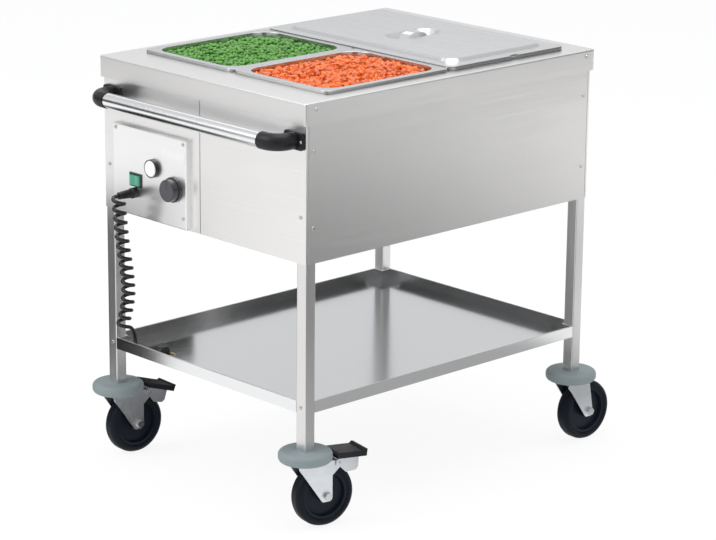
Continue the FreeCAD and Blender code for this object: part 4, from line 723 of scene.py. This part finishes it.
def make_plug(material):
    """Moulded plug: a grip that swells from the cord's neck to a flat-sided head."""
    low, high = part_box("plug")
    back = high.y
    middle_x = (low.x + high.x) / 2
    radius = (high.x - low.x) / 2
    neck_z, head_z = TAIL[-1][2], low.z + radius
    length = high.y - low.y
    # share of the length, radius, and how far it has gone from the neck's height to the head's
    stations = [(0.0, 0.0052, 0.0), (0.05, 0.0056, 0.0), (0.12, 0.0056, 0.05), (0.18, 0.0064, 0.1),
                (0.24, 0.0062, 0.2), (0.30, 0.0074, 0.32), (0.36, 0.0086, 0.5), (0.42, 0.0112, 0.75),
                (0.50, 0.0138, 0.95), (0.58, 0.0148, 1.0), (0.66, 0.0140, 1.0), (0.70, 0.0140, 1.0),
                (0.76, 0.0148, 1.0), (0.94, 0.0149, 1.0), (0.985, 0.0143, 1.0), (1.0, 0.0128, 1.0)]
    rings = []
    sides = 36
    for share, reach, settle in stations:
        z = neck_z + (head_z - neck_z) * settle
        ring = []
        for n in range(sides):
            angle = math.tau * n / sides
            flat = 1 - 0.10 * settle * max(0.0, abs(math.sin(angle)) - 0.5)
            ring.append(Vector((middle_x + reach * math.cos(angle), back - length * share,
                                z + reach * flat * math.sin(angle))))
        rings.append(ring)
    piece = add_piece("plug_body", lofted("plug_body", rings), "trolley", material, 40)
    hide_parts("plug")
    return piece


class TROLLEY_OT_cord(bpy.types.Operator):
    """Wind the curly cord from its relief down to the plug on the tray"""
    bl_idname = "trolley.cord"
    bl_label = "Curly cord"

    def execute(self, context):
        settings = context.scene.trolley_cord
        look = context.scene.trolley_finish
        rubber = moulded("cord_black", shade(tuple(look.black), 0.9), 0.3, 0.42, 0.15, coat=0.1)
        exit_point, points = cord_route(settings)
        curve = tube_curve("cord", points, settings.diameter)
        curve.materials.append(rubber)
        cord = bpy.data.objects.new("cord", curve)
        context.scene.collection.objects.link(cord)
        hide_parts("curly_cord")
        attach(cord, "trolley")
        relief = make_relief(rubber)
        plug = make_plug(rubber)
        coat_node(plain_metal("pin_brass", (0.72, 0.58, 0.32), 0.2, 0.32), "plug_pins")
        return {"FINISHED"}


# ---- casters -------------------------------------------------------------------------------------

class TROLLEY_OT_casters(bpy.types.Operator):
    """Finish the forks, wheels, bumper discs and brake pedals"""
    bl_idname = "trolley.casters"
    bl_label = "Casters"

    def execute(self, context):
        look = context.scene.trolley_finish
        zinc = plain_metal("zinc_plate", tuple(look.zinc), 0.28, 0.44)
        bolt = plain_metal("bolt_steel", (0.6, 0.6, 0.6), 0.25, 0.35)
        tyre = moulded("tyre_rubber", tuple(look.tyre), 0.42, 0.6, 0.3, lighten=2.0, shine=0.14)
        hub = moulded("hub_plastic", shade(tuple(look.tyre), 1.6), 0.36, 0.5, 0.2, shine=0.16)
        bumper = moulded("bumper_rubber", tuple(look.bumper), 0.5, 0.68, 0.3, lighten=1.3)
        pedal = moulded("pedal_black", tuple(look.black), 0.35, 0.5, 0.2, coat=0.15, shine=0.2)
        coat_node(bumper, "bumper_discs")
        coat_node(zinc, "caster_stems")
        for corner in CORNERS:
            coat_node(zinc, "fork_" + corner)
            coat_node(bolt, "bolts_" + corner)
            coat_node(tyre, "tyre_" + corner)
            coat_node(hub, "hub_" + corner)
            if "pedal_pad_" + corner in NODES:
                coat_node(zinc, "pedal_blade_" + corner)
                coat_node(pedal, "pedal_pad_" + corner)
        return {"FINISHED"}


# ---- stage ---------------------------------------------------------------------------------------

# The photograph's camera, fitted to the trolley's own sizes: place from the casing's middle on the
# floor, in metres, and its angles in degrees.
CAMERA_PLACE = (-3.7389, -3.93205, 1.9175)
CAMERA_YAW = 43.78
CAMERA_PITCH = 15.83
CAMERA_ROLL = 0.59
CAMERA_LENS = 140.1


def place_camera(context):
    """The photograph's camera, turned by its yaw, pitch and roll."""
    data = bpy.data.cameras.new("camera")
    data.sensor_width = 36.0
    data.lens = CAMERA_LENS
    data.clip_end = 100.0
    camera = bpy.data.objects.new("camera", data)
    context.scene.collection.objects.link(camera)
    yaw, pitch, roll = (math.radians(a) for a in (CAMERA_YAW, CAMERA_PITCH, CAMERA_ROLL))
    ahead = Vector((math.cos(pitch) * math.sin(yaw), math.cos(pitch) * math.cos(yaw), -math.sin(pitch)))
    level = Vector((math.cos(yaw), -math.sin(yaw), 0.0))
    above = level.cross(ahead)
    right = level * math.cos(roll) + above * math.sin(roll)
    up = right.cross(ahead)
    turn = Matrix((right, up, -ahead)).transposed().to_4x4()
    camera.matrix_world = Matrix.Translation(CASING + Vector(CAMERA_PLACE)) @ turn
    context.scene.camera = camera


def seen_rays(tree):
    """1 for camera, mirror and clear rays, which see the floor as white, and 0 for the others."""
    path = tree.nodes.new("ShaderNodeLightPath")
    seen = path.outputs["Is Camera Ray"]
    for other in ("Is Glossy Ray", "Is Transmission Ray"):
        most = tree.nodes.new("ShaderNodeMath")
        most.operation = "MAXIMUM"
        tree.links.new(seen, most.inputs[0])
        tree.links.new(path.outputs[other], most.inputs[1])
        seen = most.outputs[0]
    return seen


def make_world(context, surround):
    """The studio's walls: white to the camera and as bright as the surround to every other ray."""
    world = bpy.data.worlds.new("studio")
    world.use_nodes = True
    tree = world.node_tree
    sky = tree.nodes["Background"]
    sky.inputs["Color"].default_value = (0.97, 0.98, 1.0, 1.0)
    sky.inputs["Strength"].default_value = surround
    seen = new_node(tree, "ShaderNodeBackground", Strength=1.0)
    seen.inputs["Color"].default_value = (1, 1, 1, 1)
    path = tree.nodes.new("ShaderNodeLightPath")
    mix = tree.nodes.new("ShaderNodeMixShader")
    tree.links.new(path.outputs["Is Camera Ray"], mix.inputs[0])
    tree.links.new(sky.outputs[0], mix.inputs[1])
    tree.links.new(seen.outputs[0], mix.inputs[2])
    tree.links.new(mix.outputs[0], tree.nodes["World Output"].inputs["Surface"])
    context.scene.world = world


FLOOR_RADIUS = 14.0
FLOOR_DROP = 0.0005                 # below the tyres
FLOOR_GLOW = 1.03
FLOOR_LIFT = 0.86                   # share of the glow against the shaded floor


def make_floor(context, colour):
    """A wide round floor that shows as white and keeps the trolley's shadow."""
    mesh = bpy.data.meshes.new("floor")
    disc = bmesh.new()
    bmesh.ops.create_circle(disc, cap_ends=True, radius=FLOOR_RADIUS, segments=96)
    disc.to_mesh(mesh)
    disc.free()
    floor = bpy.data.objects.new("floor", mesh)
    floor.location = (0, 0, -FLOOR_DROP)
    context.scene.collection.objects.link(floor)
    material, tree, shader = new_material("floor_paint")
    shader.inputs["Base Color"].default_value = (*colour, 1)
    shader.inputs["Roughness"].default_value = 0.9
    shader.inputs["Specular IOR Level"].default_value = 0.1
    diffuse = new_node(tree, "ShaderNodeBsdfDiffuse", Color=(*colour, 1))
    glow = new_node(tree, "ShaderNodeEmission", Strength=FLOOR_GLOW)
    lift = new_node(tree, "ShaderNodeMixShader", Fac=FLOOR_LIFT)
    tree.links.new(diffuse.outputs[0], lift.inputs[1])
    tree.links.new(glow.outputs[0], lift.inputs[2])
    pick = tree.nodes.new("ShaderNodeMixShader")
    tree.links.new(seen_rays(tree), pick.inputs[0])
    tree.links.new(shader.outputs[0], pick.inputs[1])
    tree.links.new(lift.outputs[0], pick.inputs[2])
    tree.links.new(pick.outputs[0], tree.nodes["Material Output"].inputs["Surface"])
    mesh.materials.append(material)
    return floor


# Cards that stand and lie round the trolley and show only in its polished steel: one corner, the two
# edges from it and the brightness. Metres from the casing's middle.
CARDS = {
    "card_right": ((0.8, -1.35, 0.6), (1.5, 0.3, 0), (0, 0, 0.75), 0.02),
    "card_back": ((-1.9, 1.5, 0.55), (1.4, 0.55, 0), (0, 0, 0.7), 0.03),
    "card_under": ((-0.78, 0.6, 0.01), (0.88, 0, 0), (0, 0, 0.43), 0.01),
    # Painted shadow: this dark card lying under the trolley stands for the trolley's shadow on the
    # floor, as the steel reflects it.
    "shadow_card_beneath": ((-0.33, -0.2, 0.01), (0.66, 0, 0), (0, 0.42, 0), 0.03),
    "card_camera": ((-2.1, -1.25, 0.45), (0.85, -0.85, 0), (0, 0, 0.9), 0.03),
    "card_side": ((-0.6, -3.1, 0.02), (2.2, 0, 0), (0, 1.95, 0), 0.05),
    "card_side_bright": ((1.95, -3.4, 0.02), (2.0, 0, 0), (0, 2.6, 0), 1.35),
    "card_lip": ((-0.2, -1.14, 0.02), (1.0, 0, 0), (0, 0.74, 0), 0.42),
    "card_end": ((-3.1, 0.7, 0.02), (2.2, 0, 0), (0, 2.2, 0), 1.12),
    "card_top": ((0.7, 3.3, 1.8), (2.6, -2.6, 0), (0, 0, 2.4), 1.25),
}


def make_card(context, name, corner, along, up, value):
    """A flat card that only mirror rays can see."""
    first, along, up = CASING + Vector(corner), Vector(along), Vector(up)
    corners = [first, first + along, first + along + up, first + up]
    mesh = mesh_from(name, corners, [(0, 1, 2, 3)])
    card = bpy.data.objects.new(name, mesh)
    context.scene.collection.objects.link(card)
    for ray in ("camera", "diffuse", "transmission", "volume_scatter", "shadow"):
        setattr(card, "visible_" + ray, False)
    material, tree, shader = new_material(name)
    tree.nodes.remove(shader)
    glow = new_node(tree, "ShaderNodeEmission", Strength=value)
    tree.links.new(glow.outputs[0], tree.nodes["Material Output"].inputs["Surface"])
    mesh.materials.append(material)
    return card


LIGHT_TARGET = (0, 0, 0.5)


def area_light(context, name, place, size, power):
    """A rectangular soft lamp that points at the trolley."""
    data = bpy.data.lights.new(name, "AREA")
    data.shape = "RECTANGLE"
    data.size, data.size_y = size
    data.energy = power
    lamp = bpy.data.objects.new(name, data)
    lamp.location = place
    lamp.rotation_euler = (Vector(LIGHT_TARGET) - Vector(place)).to_track_quat("-Z", "Y").to_euler()
    context.scene.collection.objects.link(lamp)


class TROLLEY_OT_stage(bpy.types.Operator):
    """Set up the floor, the soft studio light and the photograph's camera"""
    bl_idname = "trolley.stage"
    bl_label = "Stage"

    def execute(self, context):
        stage = context.scene.trolley_stage
        place_camera(context)
        make_world(context, stage.surround)
        floor = make_floor(context, tuple(stage.floor))
        [make_card(context, name, *card) for name, card in CARDS.items()]
        area_light(context, "key_light", (-2.6, 1.2, 3.2), (2.6, 2.6), stage.key)
        area_light(context, "top_light", (0.3, -0.4, 3.6), (2.4, 2.4), stage.key * 0.8)
        context.scene.view_settings.view_transform = "Standard"
        return {"FINISHED"}


# ---- panel and running ---------------------------------------------------------------------------

STEPS = ("steelwork", "pans", "food", "controls", "cord", "casters", "stage")


class TROLLEY_PT_panel(bpy.types.Panel):
    """Buttons for each group of pieces"""
    bl_idname = "TROLLEY_PT_panel"
    bl_label = "Serving trolley"
    bl_space_type = "VIEW_3D"
    bl_region_type = "UI"
    bl_category = "Trolley"

    def draw(self, context):
        column = self.layout.column()
        for step in STEPS:
            column.operator("trolley." + step)


CLASSES = (FinishSettings, FoodSettings, CordSettings, StageSettings, TROLLEY_OT_steelwork,
           TROLLEY_OT_pans, TROLLEY_OT_food, TROLLEY_OT_controls, TROLLEY_OT_cord,
           TROLLEY_OT_casters, TROLLEY_OT_stage, TROLLEY_PT_panel)
SETTINGS = {"trolley_finish": FinishSettings, "trolley_food": FoodSettings, "trolley_cord": CordSettings,
            "trolley_stage": StageSettings}


def register():
    for cls in CLASSES:
        bpy.utils.register_class(cls)
    for name, group in SETTINGS.items():
        setattr(bpy.types.Scene, name, PointerProperty(type=group))


def unregister():
    for name in SETTINGS:
        delattr(bpy.types.Scene, name)
    for cls in reversed(CLASSES):
        bpy.utils.unregister_class(cls)


def main():
    register()
    build_grain_group()
    build_handling_group()
    for step in STEPS:
        getattr(bpy.ops.trolley, step)()


if __name__ == "__main__":
    main()
